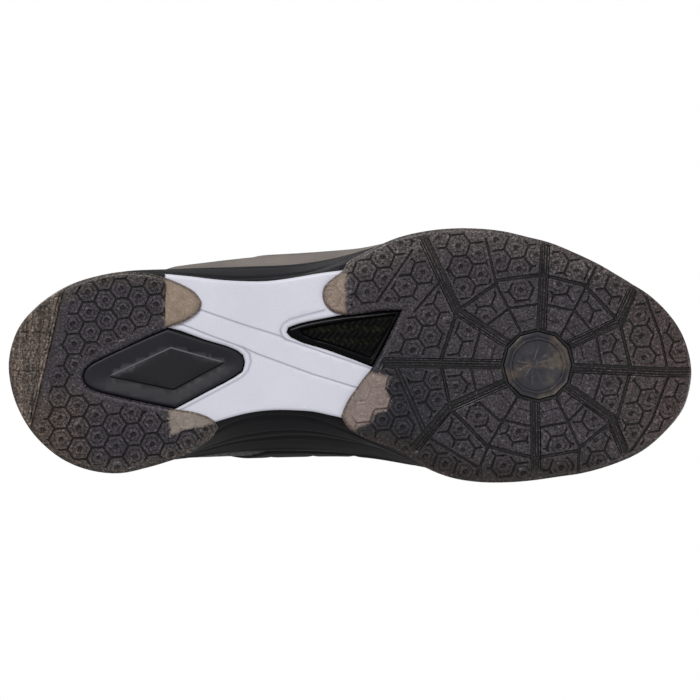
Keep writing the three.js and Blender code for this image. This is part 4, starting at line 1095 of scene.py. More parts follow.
def heel_edge(P):
    return (P[:, 0] + 129.6) * -0.973 + (P[:, 1] + 2.6) * -0.23


HEEL_RIDGES = [(0.7, 0.35, 0.4), (2.0, 0.3, 0.35), (3.6, 0.35, 0.3), (6.2, 0.3, 0.35), (8.6, 0.4, 0.3), (11.4, 0.3, 0.3), (14.0, 0.35, 0.25)]


def heel_fades(P):
    dout = cdist(P, HEEL, True)[0]
    ddia = cdist(P, DIAMOND, True)[0]
    fwd = -heel_edge(P)
    fade = smooth(1.6, 2.8, dout) * smooth(3.4, 4.8, ddia) * smooth(3.0, 4.6, fwd)
    fade = fade * np.where((P[:, 0] > -80.3) & (P[:, 1] < 0), 0.0, 1.0)
    return fade, dout, ddia, fwd


def heel_face(P):
    fade, dout, ddia, fwd = heel_fades(P)
    h = hex_depth(P, HC, fade, HEEL_PITS)
    tan = inside(P, PLATE)
    h = np.where(tan, h * 0.3, h)
    r = np.zeros(len(P))
    wav = 0.5 * np.sin(P[:, 1] * 0.23) + 0.3 * np.sin(P[:, 1] * 0.61 + 1)
    for d0, hw, dep in HEEL_RIDGES:
        e = np.abs(-fwd - d0 - wav * min(1, d0 / 6))
        r = np.maximum(r, dep * (1 - smooth(0.0, hw, e)))
    for y0 in (-10.2, 6.7):
        r = np.maximum(r, 0.4 * (1 - smooth(0.1, 0.4, np.abs(P[:, 1] - y0 - 0.02 * (P[:, 0] + 140)))) * (fwd < -0.6))
    r = np.where(fwd < -0.4, r, 0)
    d = np.maximum.reduce([h, r, edge_round(dout)])
    d = np.where(tan, np.minimum(d, 1.3), d)
    return tread(P[:, 0], P[:, 1]) + d


def heel_tint(P, depth, zone):
    dout = cdist(P, HEEL, True)[0]
    fwd = -heel_edge(P)
    c = np.repeat(S(60, 56, 61)[None], len(P), 0)
    free = smooth(3.0, 9.0, cdist(P, DIAMOND, True)[0])
    # painted light: a lighter band 1 to 9 mm in from the outer edge, away from the diamond, for light shining through
    # the thin rubber
    c = tint_mix(c, S(70, 64, 61), (1 - smooth(1, 9, dout)) * 0.8 * free)
    c = tint_mix(c, S(80, 70, 64), smooth(-105, -128, P[:, 0]) * smooth(8, 26, P[:, 1]) * 0.8)
    c = tint_mix(c, S(88, 79, 73), smooth(1.0, -2.0, fwd))
    # painted light: a lighter line along the rounded outer rim
    c = tint_mix(c, S(96, 88, 82), (1 - smooth(0.0, 1.8, dout)) * 0.5 * free)
    tan = np.repeat(S(142, 125, 111)[None], len(P), 0)
    tan = tint_mix(tan, S(138, 127, 120), smooth(0, 20, P[:, 1]))
    tan = tint_mix(tan, S(108, 97, 88), 1 - smooth(0.2, 2.2, dout))
    t = heel_tan(P)
    c = c + (tan - c) * t[:, None]
    # painted shade: the next three lines darken the colour in the tread's grooves and pits, in the grooves across the
    # heel bevel, and along the crease where the bevel meets the tread
    g = 1 - (0.66 - 0.4 * t) * smooth(0.2, 0.65, depth) * (depth < 2.5) * (fwd > 0) * smooth(0.6, 1.6, dout)
    g = g * (1 - 0.5 * smooth(0.1, 0.34, depth) * (fwd < -0.4) * smooth(1.5, 2.5, dout))
    g = g * (1 - 0.5 * np.exp(-(((fwd + 0.2) / 0.5) ** 2)))
    return np.column_stack([settle(c * g[:, None]), 1 - smooth(0.5, -1.5, fwd)])


def groove_lines(plan, grooves, more=(0.9, 1.5)):
    for q, hw, dep, slope in grooves:
        for w in (hw, hw - slope, *[hw + m for m in more]):
            a, b = offset_line(q, w), offset_line(q, -w)
            plan.line(np.vstack([a, b[::-1]]), True)


HEX_INSETS = (0.18, 0.46, 1.65, 1.9, 2.15)
FORE_PITS = smooth(0.35, 0.95, fore_fades(FC)[0]) * inside(FC, FORE)
HEEL_PITS = smooth(0.35, 0.95, heel_fades(HC)[0]) * inside(HC, HEEL)


def outsole():
    plan = Plan()
    groove_lines(plan, GROOVES)
    groove_lines(plan, SPLITS, ())
    for q, s in WIDE:
        for o in RIBS:
            plan.line(offset_line(q, o * s))
        for o in (-3.15, -3.75, 3.15, 3.75):
            plan.line(offset_line(q, o))
    for d in (-0.45, -0.95, -1.5, -2.6):
        plan.line(grow(FORE, d), True)
    for d in (3.6, 4.6):
        plan.line(grow(WINDOW, d), True)
    for r in (25.4, 26.2):
        a = np.linspace(0, 2 * math.pi, 61)[:-1]
        plan.line(HUB + r * np.stack([np.cos(a), np.sin(a)], -1), True)
    for r in (15.95, 16.45):
        plan.line(dodecagon(r), True)
    plan.line(grow(PLATE, 0), True)
    for d in (-0.9, 0, 0.9):
        plan.line(grow(FORE_CLEAR, d), True)
        plan.line(along(A_([[-2.0 + d, -58], [-2.0 + d, -12]]), 1.5))
    hex_lines(plan, lattice_cells(FC, 9.5, HEX_INSETS), lambda p: fore_fades(p)[0] > 0.03, FORE_PITS)
    relief(
        "outsole_forefoot_tread", FORE, plan, fore_face, lambda P: tread(P[:, 0], P[:, 1]) + over_plate(P), M["rubber"],
        holes=[dodecagon(15.1)], grid=2.6, zone=lambda c: inside(c, PLATE).astype(float), tint=fore_tint,
        replaces=["outsole_forefoot"], slot="smoke_rubber", sharp=32,
    )
    plan = Plan()
    for d in (-0.45, -0.95, -1.5, -2.7):
        plan.line(grow(HEEL, d), True)
    for d in (3.4, 4.8):
        plan.line(grow(DIAMOND, d), True)
    n, t = np.array([-0.973, -0.23]), np.array([-0.23, 0.973])
    base = np.array([-129.6, -2.6])
    ys = np.linspace(-52, 62, 48)
    for d in (0.0, -3.0, -4.6):
        plan.line(A_([base + n * d + t * s for s in ys]))
    for d0, hw, dep in HEEL_RIDGES:
        for e in (-hw, 0, hw):
            pts = []
            for s in ys:
                p = base + t * s
                wav = 0.5 * math.sin(p[1] * 0.23) + 0.3 * math.sin(p[1] * 0.61 + 1)
                pts.append(base + n * (d0 + e + wav * min(1, d0 / 6)) + t * s)
            plan.line(pts)
    for y0 in (-10.2, 6.7):
        for e in (-0.4, -0.1, 0.1, 0.4):
            plan.line(A_([[-150, y0 + e - 0.2], [-130, y0 + e + 0.2]]))
    plan.line(PLATE, True)
    for d in (-0.8, 0.8):
        plan.line(grow(PLATE, d), True)
    hex_lines(plan, lattice_cells(HC, 9.5, HEX_INSETS), lambda p: heel_fades(p)[0] > 0.03, HEEL_PITS)
    relief(
        "outsole_heel_tread", HEEL, plan, heel_face, lambda P: tread(P[:, 0], P[:, 1]) + over_plate(P), M["rubber"],
        grid=2.6, zone=lambda c: inside(c, PLATE).astype(float), tint=heel_tint,
        replaces=["outsole_heel"], slot="smoke_rubber", sharp=32,
    )


def ridge_lines(plan, q, w):
    for o in (-w, -w / 2, 0, w / 2, w):
        plan.line(offset_line(q, o))


PLATE_LINES = [
    (mm([[-80, -25.0], [-64.4, -19.6], [-46.4, -13.4], [-30.6, -8.5], [-27.8, -6.9]]), 0.75, 0.3),
    (mm([[-11.1, -19.6], [-19, -17.6], [-26.2, -15.6], [-29.2, -13.6], [-30.4, -11.0], [-29.6, -8.6], [-27.8, -6.9], [-9.1, -0.5], [9.0, 5.6], [15, 8]]), 0.8, 0.35),
    (mm([[-80, -16.2], [-73.8, -13.8], [-60.1, -8.4], [-46.4, -3.4], [-39.9, -0.5], [-16.2, 8.2], [2.5, 13.9], [14, 17.6]]), 0.75, 0.32),
    (mm([[-46.4, -3.4], [-43.6, -0.6], [-43.0, 2.6], [-44.3, 6.7], [-47, 9.4], [-50.0, 11.1], [-73.8, 23.9], [-79, 26.4]]), 0.8, 0.32),
]


def plate():
    plan = Plan()
    out = rounded(PLATE, 3, 0.8)
    for q, w, d in PLATE_LINES:
        ridge_lines(plan, along(q, 3.0), w)
    for d in (-0.3, -0.7, -1.2):
        plan.line(grow(out, d), True)

    def face(P):
        d = cdist(P, out, True)[0]
        e = 0.7 * np.clip(1 - d / 1.2, 0, 1) ** 2
        for q, w, dep in PLATE_LINES:
            o, s = cdist(P, q)
            # one side falls quickly to the line, the other rises slowly
            e = np.maximum(e, dep * np.clip(1 - o / np.where(s > 0, w, w * 0.5), 0, 1))
        return tread(P[:, 0], P[:, 1]) + 2.3 + e

    def tint(P, depth, zone):
        c = np.repeat(S(217, 217, 229)[None], len(P), 0)
        # painted shade: grey along each embossed line, for the shade of its small step
        for q, w, dep in PLATE_LINES:
            o, s = cdist(P, q)
            c = tint_mix(c, S(168, 168, 182), 0.8 * np.clip(1 - o / 0.8, 0, 1))
        return np.column_stack([c, np.ones(len(P))])

    relief("shank_plate_body", out, plan, face, lambda P: tread(P[:, 0], P[:, 1]) + 4.6, M["white"], tint=tint, grid=2.4, replaces=["shank_plate"], slot="white_tpu", sharp=25)

    out = rounded(DIAMOND, 3, 0.8)
    plan = Plan()
    F0, F1 = grow(DIAMOND_FLOOR, 0.45), DIAMOND_FLOOR
    for d in (-0.3, -0.7, -1.1):
        plan.line(grow(out, d), True)
    for q in (F0, F1, grow(DIAMOND_FLOOR, -0.55)):
        plan.line(along(np.vstack([q, q[:1]]), 2.0)[:-1], True)

    def face(P):
        dout = cdist(P, out, True)[0]
        dfl = cdist(P, DIAMOND_FLOOR, True)[0]
        infl = inside(P, DIAMOND_FLOOR)
        s = dout / np.maximum(1e-6, dout + dfl)
        band = 1.2 + 0.1 + 1.3 * s + 0.7 * np.clip(1 - dout / 1.1, 0, 1) ** 2
        z = np.where(infl, 1.85 + 0.75 * np.clip(1 - dfl / 0.55, 0, 1), np.where(dfl < 0.45, 2.62, band))
        return tread(P[:, 0], P[:, 1]) + z

    def tint(P, depth, zone):
        c = np.repeat(S(17, 16, 22)[None], len(P), 0)
        c = tint_mix(c, S(28, 27, 34), 1.0 * ~inside(P, DIAMOND_FLOOR))
        up, low = cdist(P, DIAMOND_FLOOR[:3])[0], cdist(P, DIAMOND_FLOOR[[2, 3, 0]])[0]
        # painted highlight along the upper edges of the raised floor, and painted shadow along its lower edges
        c = tint_mix(c, S(112, 111, 118), np.clip(1 - up / 0.5, 0, 1) * (low > 1))
        c = tint_mix(c, S(6, 6, 8), np.clip(1.3 - low / 0.5, 0, 1) * (up > 1))
        return np.column_stack([c, np.ones(len(P))])

    relief("heel_insert_body", out, plan, face, lambda P: tread(P[:, 0], P[:, 1]) + 4.6, M["tpu"], tint=tint, grid=2.4, replaces=["heel_insert"], slot="black_tpu", sharp=28)

    out = rounded(WINDOW, 4, 0.85)
    plan = Plan()
    hole = rounded(grow(CARBON, 0.15), 3)
    for d in (-0.3, -0.7, -1.2, -2.0):
        plan.line(grow(out, d), True)
    for d in (0.4, 0.9):
        plan.line(grow(hole, d), True)

    def face(P):
        d = cdist(P, out, True)[0]
        h = cdist(P, hole, True)[0]
        return tread(P[:, 0], P[:, 1]) + 1.6 + 0.6 * np.clip(1 - d / 1.2, 0, 1) ** 2 + 1.1 * np.clip(1 - h / 1.0, 0, 1) ** 1.5

    relief("window_frame_body", out, plan, face, lambda P: tread(P[:, 0], P[:, 1]) + 4.6, M["frame"], holes=[hole], grid=2.0, replaces=["window_frame"], slot="gloss_black_tpu", sharp=30)
    plan = Plan()
    relief("carbon_sheet", rounded(CARBON, 3), plan, lambda P: tread(P[:, 0], P[:, 1]) + 3.4 + 0.0 * P[:, 0], lambda P: tread(P[:, 0], P[:, 1]) + 4.6, M["carbon"], grid=2.0, replaces=["carbon_plate"], slot="carbon", sharp=30)


def disc():
    """Pivot disc: a twelve-sided rim, a step and a shallow dome with fine rays."""
    plan = Plan()
    out = dodecagon(14.75)
    for r in (14.5, 14.1, 13.1, 12.85, 12.6, 12.35, 11.9, 11.6):
        plan.line(dodecagon(r), True)
    a = np.linspace(0, 2 * math.pi, 73)[:-1]
    for r in (11.3, 11.0, 10.7, 10.2):
        plan.line(HUB + r * np.stack([np.cos(a), np.sin(a)], -1), True)
    RAYS = [(a0, r0, r1) for a0, r0, r1 in ((0.15, 2.2, 9.0), (0.42, 1.8, 8.2), (0.75, 2.5, 9.2), (-0.25, 2.1, 8.6), (-0.6, 2.4, 7.4), (1.15, 2.4, 7.6), (1.6, 2.8, 8.8), (2.1, 2.3, 6.9), (2.7, 2.2, 6.4), (3.3, 2.6, 6.2), (3.9, 2.2, 8.8), (4.5, 2.5, 7.6), (5.1, 2.2, 8.2))]
    segs = [HUB + A_([-2.4, -0.6]) + A_([[r * math.cos(t), r * math.sin(t)] for r in np.linspace(r0, r1, 5)]) for t, r0, r1 in RAYS]
    for q in segs:
        for o in (-0.28, 0, 0.28):
            plan.line(offset_line(q, o))

    def face(P):
        r = np.hypot(*(P - HUB).T)
        t = np.arctan2(P[:, 1] - HUB[1], P[:, 0] - HUB[0])
        e = (t % (math.pi / 6)) - math.pi / 12
        p = r * np.cos(e) / math.cos(math.pi / 12)
        z = np.interp(p, [11.6, 11.9, 12.35, 12.6, 12.85, 13.1, 14.1, 14.5, 14.75], [0.72, 0.66, 0.66, 0.95, 0.95, 0.68, 0.62, 0.72, 1.2])
        bowl = np.interp(r, [0, 3, 6, 9, 10.2, 10.7, 11.0, 11.3, 11.5], [0.95, 1.02, 1.2, 1.42, 1.5, 1.45, 1.1, 0.8, 0.75])
        z = np.where(p < 11.5, bowl, z)
        for q in segs:
            d, _ = cdist(P, q)
            z = z - 0.07 * np.clip(1 - d / 0.28, 0, 1)
        return tread(P[:, 0], P[:, 1]) + z

    relief("pivot_disc_body", out, plan, face, lambda P: tread(P[:, 0], P[:, 1]) + 4.6, M["disc"], grid=1.3, replaces=["pivot_disc"], slot="disc_rubber", sharp=28)


# ------------------------------------------------------------------ midsole
def midsole():
    ns = 57 if QUICK else 113
    ss = np.linspace(0, 14, ns)
    K = np.linspace(0, 1, 25)

    def half(t):
        low, top, out = at(LOW, t), at(RIM, t), outward(RIM, t)
        zl = tread(low[:, 0], low[:, 1]) + 4.9
        zt = rim(top[:, 0])
        rows = []
        for k in K:
            # two sculpted lines run round the wall and come together at the waist
            fl = folded(t)
            c1 = 0.30 + 0.12 * np.sin(fl * 0.45)
            c2 = 0.66 - 0.10 * np.sin(fl * 0.45 + 0.6)
            g = 0.9 * np.exp(-(((k - c1) / 0.035) ** 2)) + 0.7 * np.exp(-(((k - c2) / 0.03) ** 2))
            bulge = 1.2 * 4 * k * (1 - k) * 0.9 + 0.5 * smooth(0.0, 0.08, k) * smooth(1.0, 0.92, k) - g * smooth(0.02, 0.1, k) * smooth(0.98, 0.9, k) - 0.5
            xy = low + (top - low) * k + out * bulge[:, None] if np.ndim(bulge) else low + (top - low) * k + out * bulge
            rows.append(np.column_stack([xy, zl + (zt - zl) * k]))
        bite, cup = at(BITE, t) + outward(BITE, t) * 0.35, at(BITE, t) - outward(BITE, t) * 2.6
        rows[-1][:, 2] -= 0.25
        m = (top + bite) / 2
        rows.append(np.column_stack([top - out * 0.9, zt + 0.0]))
        rows.append(np.column_stack([bite, rim(bite[:, 0])]))
        rows.append(np.column_stack([(bite + cup) / 2, rim(bite[:, 0]) * 0.55 + footbed(cup[:, 0]) * 0.45]))
        rows.append(np.column_stack([cup, footbed(cup[:, 0])]))
        return rows

    l, m = half(ss), half(N - ss)
    top = [l[-1] + (m[-1] - l[-1]) * k for k in (0.25, 0.5, 0.75)]
    for p in top:
        p[:, 2] = footbed(p[:, 0]) - 0.05
    bottom = []
    for k in (0.08, 0.2, 0.4, 0.6, 0.8, 0.92):
        p = m[0] + (l[0] - m[0]) * k
        p[:, 2] = tread(p[:, 0], p[:, 1]) + 4.9
        bottom.append(p)
    ring = np.stack([*l, *top, *m[::-1], *bottom], 1)
    n, r = ring.shape[:2]
    ix = np.arange(n * r).reshape(n, r)
    ix = np.hstack([ix, ix[:, :1]])
    q = np.stack([ix[:-1, :-1], ix[1:, :-1], ix[1:, 1:], ix[:-1, 1:]], -1).reshape(-1, 4)
    build("midsole_body", ring.reshape(-1, 3), [q], M["eva"], replaces=["midsole"], slot="eva_black", sharp=50, merge=True)


# ------------------------------------------------------------------ upper
def cloth_st(P):
    """Metres along and up a grid of points."""
    u = np.concatenate([[0], np.cumsum(np.linalg.norm(np.diff(P[:, P.shape[1] // 3], axis=0), axis=1))])
    v = np.concatenate([np.zeros((P.shape[0], 1)), np.cumsum(np.linalg.norm(np.diff(P, axis=1), axis=2), axis=1)], 1)
    return np.stack([np.repeat(u[:, None], P.shape[1], 1), v, np.zeros(P.shape[:2])], -1) * 0.001


def hexwave(u, v, cell):
    k = 2 * math.pi / cell
    return (np.cos(k * u) + np.cos(k * (0.5 * u + 0.866 * v)) + np.cos(k * (0.5 * u - 0.866 * v))) / 3


def cloth(name, t0, t1, node, keep_w=(-0.24, 1.0), step=0.85):
    step = 2.4 if QUICK else step
    g = surface(np.linspace(t0, t1, 200), 0.3)
    nt = int(np.linalg.norm(np.diff(g, axis=0), axis=1).sum() / step)
    g = surface((t0 + t1) / 2, np.linspace(0, 1, 100))
    nw = int(np.linalg.norm(np.diff(g, axis=0), axis=1).sum() / step)
    ts = np.linspace(t0, t1, nt)
    ws = np.concatenate([[-0.24, -0.12, -0.04], np.linspace(0.0, 1.0, nw)])
    T, W = np.meshgrid(ts, ws, indexing="ij")
    base = surface(T, W)
    st = cloth_st(base)
    u, v = st[..., 0] * 1000, st[..., 1] * 1000
    h = hexwave(u, v, 3.6)
    open_ = smooth(0.2, 0.75, h) * smooth(0.02, 0.08, W) * smooth(0.985, 0.94, W)
    depth = -0.42 * open_ + 0.10 * (1 - open_)
    # seam allowance turns in at both ends
    ends = np.minimum(T - t0, t1 - T)
    depth = depth - 0.5 * (1 - smooth(0, 0.04, ends))
    A = off(T, W, depth)
    B = off(T, W, np.full_like(W, -1.8))
    v3, faces = shell(A, B, keep=range(0, len(ws), 6))
    pad = len(v3) - A.shape[0] * A.shape[1]
    stf = np.concatenate([st.reshape(-1, 3), np.zeros((pad, 3))])
    hole = np.concatenate([open_.ravel() * 0.8, np.zeros(pad)])
    v3, faces, keepv = punch(v3, faces)
    return build(name, v3, faces, M["mesh"], replaces=[node], slot="mesh_charcoal", point={"st": stf[keepv], "hole": hole[keepv]}, sharp=70)


EYELET_T = [3.4, 4.75, 5.85, 6.85, 7.7, 8.4]
EYES = EYELET_T + [28 - t for t in EYELET_T]
EYE_P = off(np.array(EYES), np.full(12, 0.9), np.full(12, -1.0))
EYE_N = normal(np.array(EYES), np.full(12, 0.9))


def punch(v, faces, r=2.75):
    """Takes out the faces within r of an eyelet's axis, and the points that only they used."""
    hit = np.zeros(len(v), bool)
    for p, n in zip(EYE_P, EYE_N):
        d = v - p
        s = d @ n
        hit |= (np.linalg.norm(d - s[:, None] * n, axis=1) < r) & (np.abs(s) < 8)
    faces = [f[~hit[f].any(1)] for f in faces]
    used = np.unique(np.concatenate([f.ravel() for f in faces]))
    back = np.full(len(v), -1)
    back[used] = np.arange(len(used))
    return v[used], [back[f] for f in faces], used


def patch(name, tfun, wfun, mat, node, slot, lift=0.3, thick=1.0, nu=None, nv=None, er=1.6, holes=False, crease=None):
    """A welded overlay. tfun(v) gives its ends and wfun(u) its lower and upper edge, each as a pair."""
    nu = nu or 90
    nv = nv or 30
    if QUICK:
        nu, nv = nu // 2, max(8, nv // 2)
    ease = lambda n, e: np.unique(np.concatenate([np.linspace(0, e, 4), np.linspace(e, 1 - e, n), np.linspace(1 - e, 1, 4)]))
    u, v = ease(nu, 0.03), ease(nv, 0.08)
    U, V = np.meshgrid(u, v, indexing="ij")
    t0, t1 = tfun(V)
    T = t0 + (t1 - t0) * U
    w0, w1 = wfun(T)
    W = w0 + (w1 - w0) * V
    base = surface(T, W)
    du = np.minimum(np.linalg.norm(base - base[:1], axis=2), np.linalg.norm(base - base[-1:], axis=2))
    dv = np.minimum(np.linalg.norm(base - base[:, :1], axis=2), np.linalg.norm(base - base[:, -1:], axis=2))
    e = np.clip(np.minimum(du, dv) / er, 0, 1)
    th = thick * (0.25 + 0.75 * np.sqrt(1 - (1 - e) ** 2))
    if crease is not None:
        th = th + crease(T, W, np.minimum(du, dv))
    A = off(T, W, lift + th)
    B = off(T, W, np.full_like(W, lift))
    v3, faces = shell(A, B)
    st = cloth_st(base).reshape(-1, 3)
    st = np.concatenate([st, st])
    if holes:
        v3, faces, kv = punch(v3, faces, 2.6)
        st = st[kv]
    return build(name, v3, faces, mat, replaces=[node], slot=slot, point={"st": st}, sharp=60), (T, W)


def const(a, b):
    return lambda x: (np.full_like(x, a), np.full_like(x, b))


def upper():
    cloth("vamp_cloth", -5.488, 5.488, "vamp")
    cloth("quarter_lateral_cloth", 5.512, 13.988, "quarter_lateral")
    cloth("quarter_medial_cloth", 14.012, 22.488, "quarter_medial")
    bar = lambda T, W, d: 0.35 * np.exp(-(((d - 3.2) / 0.5) ** 2))
    patch("eyestay_film", const(-9, 9), const(0.77, 0.995), M["film"], "eyestay", "film_black", nu=260, nv=22, holes=True)
    patch("toe_guard_film", lambda V: (-4 + 0.9 * V**2, 2.5 - 0.7 * V**2), lambda T: (np.full_like(T, 0.02), 0.20 + 0.08 * np.cos((T + 0.6) * 0.45)), M["film"], "toe_guard", "film_black", nu=150, nv=20, crease=bar)
    patch("heel_clip_shell", lambda V: (10.5 + 1.1 * V**2, 17.5 - 1.1 * V**2), lambda T: (np.full_like(T, 0.02), 0.34 + 0.11 * np.cos((T - 14) * 0.5)), M["gloss"], "heel_clip", "gloss_black_tpu", nu=150, nv=28, crease=lambda T, W, d: 0.5 * np.exp(-(((d - 4.2) / 0.8) ** 2)) - 0.25 * np.exp(-(((np.abs(T - 14) - 1.0) / 0.08) ** 2)))
    patch("side_band_lateral_film", lambda V: (4.5 + 0.7 * V, 10.48 - 0.3 * V), lambda T: (np.full_like(T, 0.02), 0.13 + 0.11 * smooth(4.5, 6.5, T) * (1 - 0.25 * smooth(8, 10.4, T))), M["taupe"], "side_band_lateral", "film_taupe", nu=160, nv=16, crease=bar)
    patch("side_band_medial_film", lambda V: (17.52 + 0.3 * V, 23 - 0.7 * V), lambda T: (np.full_like(T, 0.02), 0.13 + 0.11 * smooth(23, 21, T) * (1 - 0.25 * smooth(20, 17.6, T))), M["film"], "side_band_medial", "film_black", nu=160, nv=16, crease=bar)
    # three raised bars with channels between them on each side panel
    fins = lambda c: (lambda T, W, d: -0.55 * sum(np.exp(-(((T - k + 1.4 * (W - 0.5)) / 0.07) ** 2)) for k in c) * smooth(1.0, 3.0, d))
    patch("wing_lateral_film", lambda V: (6.0 + 0.9 * V, 8.6 + 0.9 * V), const(0.27, 0.745), M["taupe"], "wing_lateral", "film_taupe", nu=100, nv=40, crease=fins((6.9, 7.7, 8.5)))
    patch("wing_medial_film", lambda V: (19.4 - 0.9 * V, 22.0 - 0.9 * V), const(0.27, 0.745), M["film"], "wing_medial", "film_black", nu=100, nv=40, crease=lambda T, W, d: -0.55 * sum(np.exp(-(((28 - T - k + 1.4 * (W - 0.5)) / 0.07) ** 2)) for k in (6.9, 7.7, 8.5)) * smooth(1.0, 3.0, d))
    patch("heel_tab_film", lambda V: (13.5 + 0.2 * (1 - V), 14.5 - 0.2 * (1 - V)), const(0.48, 0.98), M["taupe"], "heel_tab", "film_taupe", nu=16, nv=46, crease=lambda T, W, d: 0.25 * np.exp(-(((d - 2.2) / 0.4) ** 2)))


def linings():
    # throat and toe lining
    n = 60 if QUICK else 200
    T, W = np.meshgrid(np.linspace(-8.99, 8.99, n), np.concatenate([[-0.24, -0.1], np.linspace(0, 0.985, n // 4)]), indexing="ij")
    puff = 1.6 * (1 - smooth(2.5, 3.5, folded(T))) * (1 - smooth(0.51, 0.68, W))
    A, B = off(T, W, -2.1 - puff), off(T, W, -3.4 - puff)
    v, f = shell(A, B)
    st = cloth_st(surface(T, W)).reshape(-1, 3)
    st = np.concatenate([st, st])
    v, f, kv = punch(v, f, 3.4)
    build("vamp_lining_cloth", v, f, M["lining"], replaces=["vamp_lining"], slot="lining_black", point={"st": st[kv], "hole": np.zeros(len(kv))}, sharp=60)
    # padded collar: the lining rolls over the top line round its foam
    n = 80 if QUICK else 260
    ts = np.linspace(9.01, 18.99, n)
    thick = foam_in(ts, np.full(n, 0.9)) + 1.6
    N1 = normal(ts, np.full(n, 0.97))
    up = unit(surface(ts, np.full(n, 1.0)) - surface(ts, np.full(n, 0.95)))
    topp = surface(ts, np.full(n, 1.0))
    quilt = lambda t, k: 1.0
    ends = smooth(0, 0.5, np.minimum(ts - 9.01, 18.99 - ts))
    outer = []
    r = thick / 2
    for th in np.linspace(-0.35, math.pi * 0.98, 16):
        c = topp + N1 * (-r + 0.35)[:, None] - up * 1.2
        bulge = (1.0 + 0.06 * np.sin(ts * 6.0)) * (0.5 + 0.5 * ends)
        outer.append(c + N1 * (r * math.cos(th))[:, None] + up * (r * 0.72 * math.sin(th) * bulge)[:, None])
    wr = np.concatenate([np.linspace(0.93, 0.1, 34), [0.02, -0.1, -0.23]])
    for w in wr:
        W1 = np.full(n, w)
        # channels sewn into the pad behind the ankle
        pad = 0.9 * np.exp(-(((w - 0.72) / 0.16) ** 2)) * (0.5 + 0.5 * np.cos(ts * 4.2)) * ends
        outer.append(off(ts, W1, -foam_in(ts, W1) - 1.6 - pad))
    A = np.stack(outer, 1)
    inner = [off(ts, np.full(n, w), np.full(n, -2.1)) for w in np.concatenate([np.linspace(0.955, 0.93, 16), wr])]
    B = np.stack(inner, 1)
    # below the pad the skin is thin
    wb = np.concatenate([np.full(16, 0.94), wr])
    for j, w in enumerate(wb):
        if j >= 16:
            W1 = np.full(n, w)
            B[:, j] = off(ts, W1, -foam_in(ts, W1) - 0.3 if w < 0.55 else np.full(n, -2.1))
    v, f = shell(A, B)
    st = cloth_st(A).reshape(-1, 3)
    o = build("collar_pad", v, f, M["lining"], replaces=["heel_lining", "collar_foam"], slot="lining_black", point={"st": np.concatenate([st, st]), "hole": np.zeros(len(v))}, sharp=75)
    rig.padded(o, fill=0.7)


def foot_plate(name, inset, low, high, mat, node, slot, body, padded=False):
    n = 61 if QUICK else 141
    ss = np.linspace(0.0, 14, n)
    ks = np.concatenate([[0, 0.02, 0.05, 0.1, 0.16], np.linspace(0.22, 0.78, 19), [0.84, 0.9, 0.95, 0.98, 1.0]])
    l = at(BITE, ss) - outward(BITE, ss) * (3 + inset)
    m = at(BITE, N - ss) - outward(BITE, N - ss) * (3 + inset)
    tip = np.clip(np.minimum(ss, 14 - ss) / 0.6, 0, 1)
    rows_lo, rows_hi = [], []
    for k in ks:
        xy = l + (m - l) * k
        rows_hi.append(np.column_stack([xy, footbed(xy[:, 0]) + high(xy, k, tip)]))
        rows_lo.append(np.column_stack([xy, footbed(xy[:, 0]) + low]))
    A, B = np.stack(rows_hi, 1), np.stack(rows_lo, 1)
    v, f = shell(A, B)
    st = np.column_stack([v[:, :2] * 0.001, np.zeros(len(v))])
    o = build(name, v, f, mat, body=body, replaces=[node], slot=slot, point={"st": st, "hole": np.zeros(len(v))}, sharp=70, merge=False)
    if padded:
        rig.padded(o, fill=0.8)
    return o


def inside_parts():
    def high(xy, k, tip):
        e = min(k, 1 - k)
        cup = 7 * np.clip((-20 - xy[:, 0]) / 60, 0, 1) * (1 - smooth(0.0, 0.17, e)) * tip
        arch = 3.2 * np.exp(-(((xy[:, 0] + 35) / 32) ** 2)) * smooth(0.62, 0.95, k)
        edge = -1.6 * (1 - smooth(0, 0.03, e))
        dots = 0.28 * np.clip(hexwave(xy[:, 0], xy[:, 1], 9.0), 0, 1) * smooth(0.1, 0.2, e)
        return 6.1 + cup + arch + edge + dots

    foot_plate("insole_pad", 6.6, 2.1, high, M["knit"], "sockliner", "knit_black", "insole", True)


# ------------------------------------------------------------------ tongue
T_LINE = A_([[58, 3.3, 59.6], [46, 3.4, 63], [36, 3.6, 67], [22, 4, 73.8], [5, 4.8, 82], [-10, 5.3, 89.4], [-26, 6, 97.3], [-40, 7, 106], [-50, 7.6, 115.5], [-56, 8, 124], [-59, 8, 129]])
T_HALF = A_([11, 13, 15, 17.5, 19, 19.3, 19.6, 20.5, 22, 23, 19])[:, None]
T_THICK = A_([3, 3, 3, 3, 3, 3.4, 4.5, 6, 7, 6.5, 3.5])[:, None]


def line(rows, s):
    s = np.asarray(s, float)
    n = len(rows) - 1
    i = np.clip(np.floor(s).astype(int), 0, n - 1)
    f = (s - i)[..., None]
    g = lambda k: rows[np.clip(k, 0, n)]
    a, b, d, e = g(i - 1), g(i), g(i + 1), g(i + 2)
    return b + 0.5 * f * (d - a + f * (2 * a - 5 * b + 4 * d - e + f * (3 * (b - d) + e - a)))


def tongue_point(s, v, depth):
    s, v, depth = np.broadcast_arrays(np.asarray(s, float), np.asarray(v, float), np.asarray(depth, float))
    p = line(T_LINE, s)
    q, r = line(T_LINE, np.minimum(10, s + 0.05)), line(T_LINE, np.maximum(0, s - 0.05))
    d = q - r
    d[..., 1] = 0
    d = unit(d)
    up = np.stack([d[..., 2], np.zeros_like(s), -d[..., 0]], -1)
    up = np.where(up[..., 2:] < 0, -up, up)
    y = v * line(T_HALF, s)[..., 0]
    drop = 0.0156 * y * y + depth
    out = p - up * drop[..., None]
    out[..., 1] += y
    return out


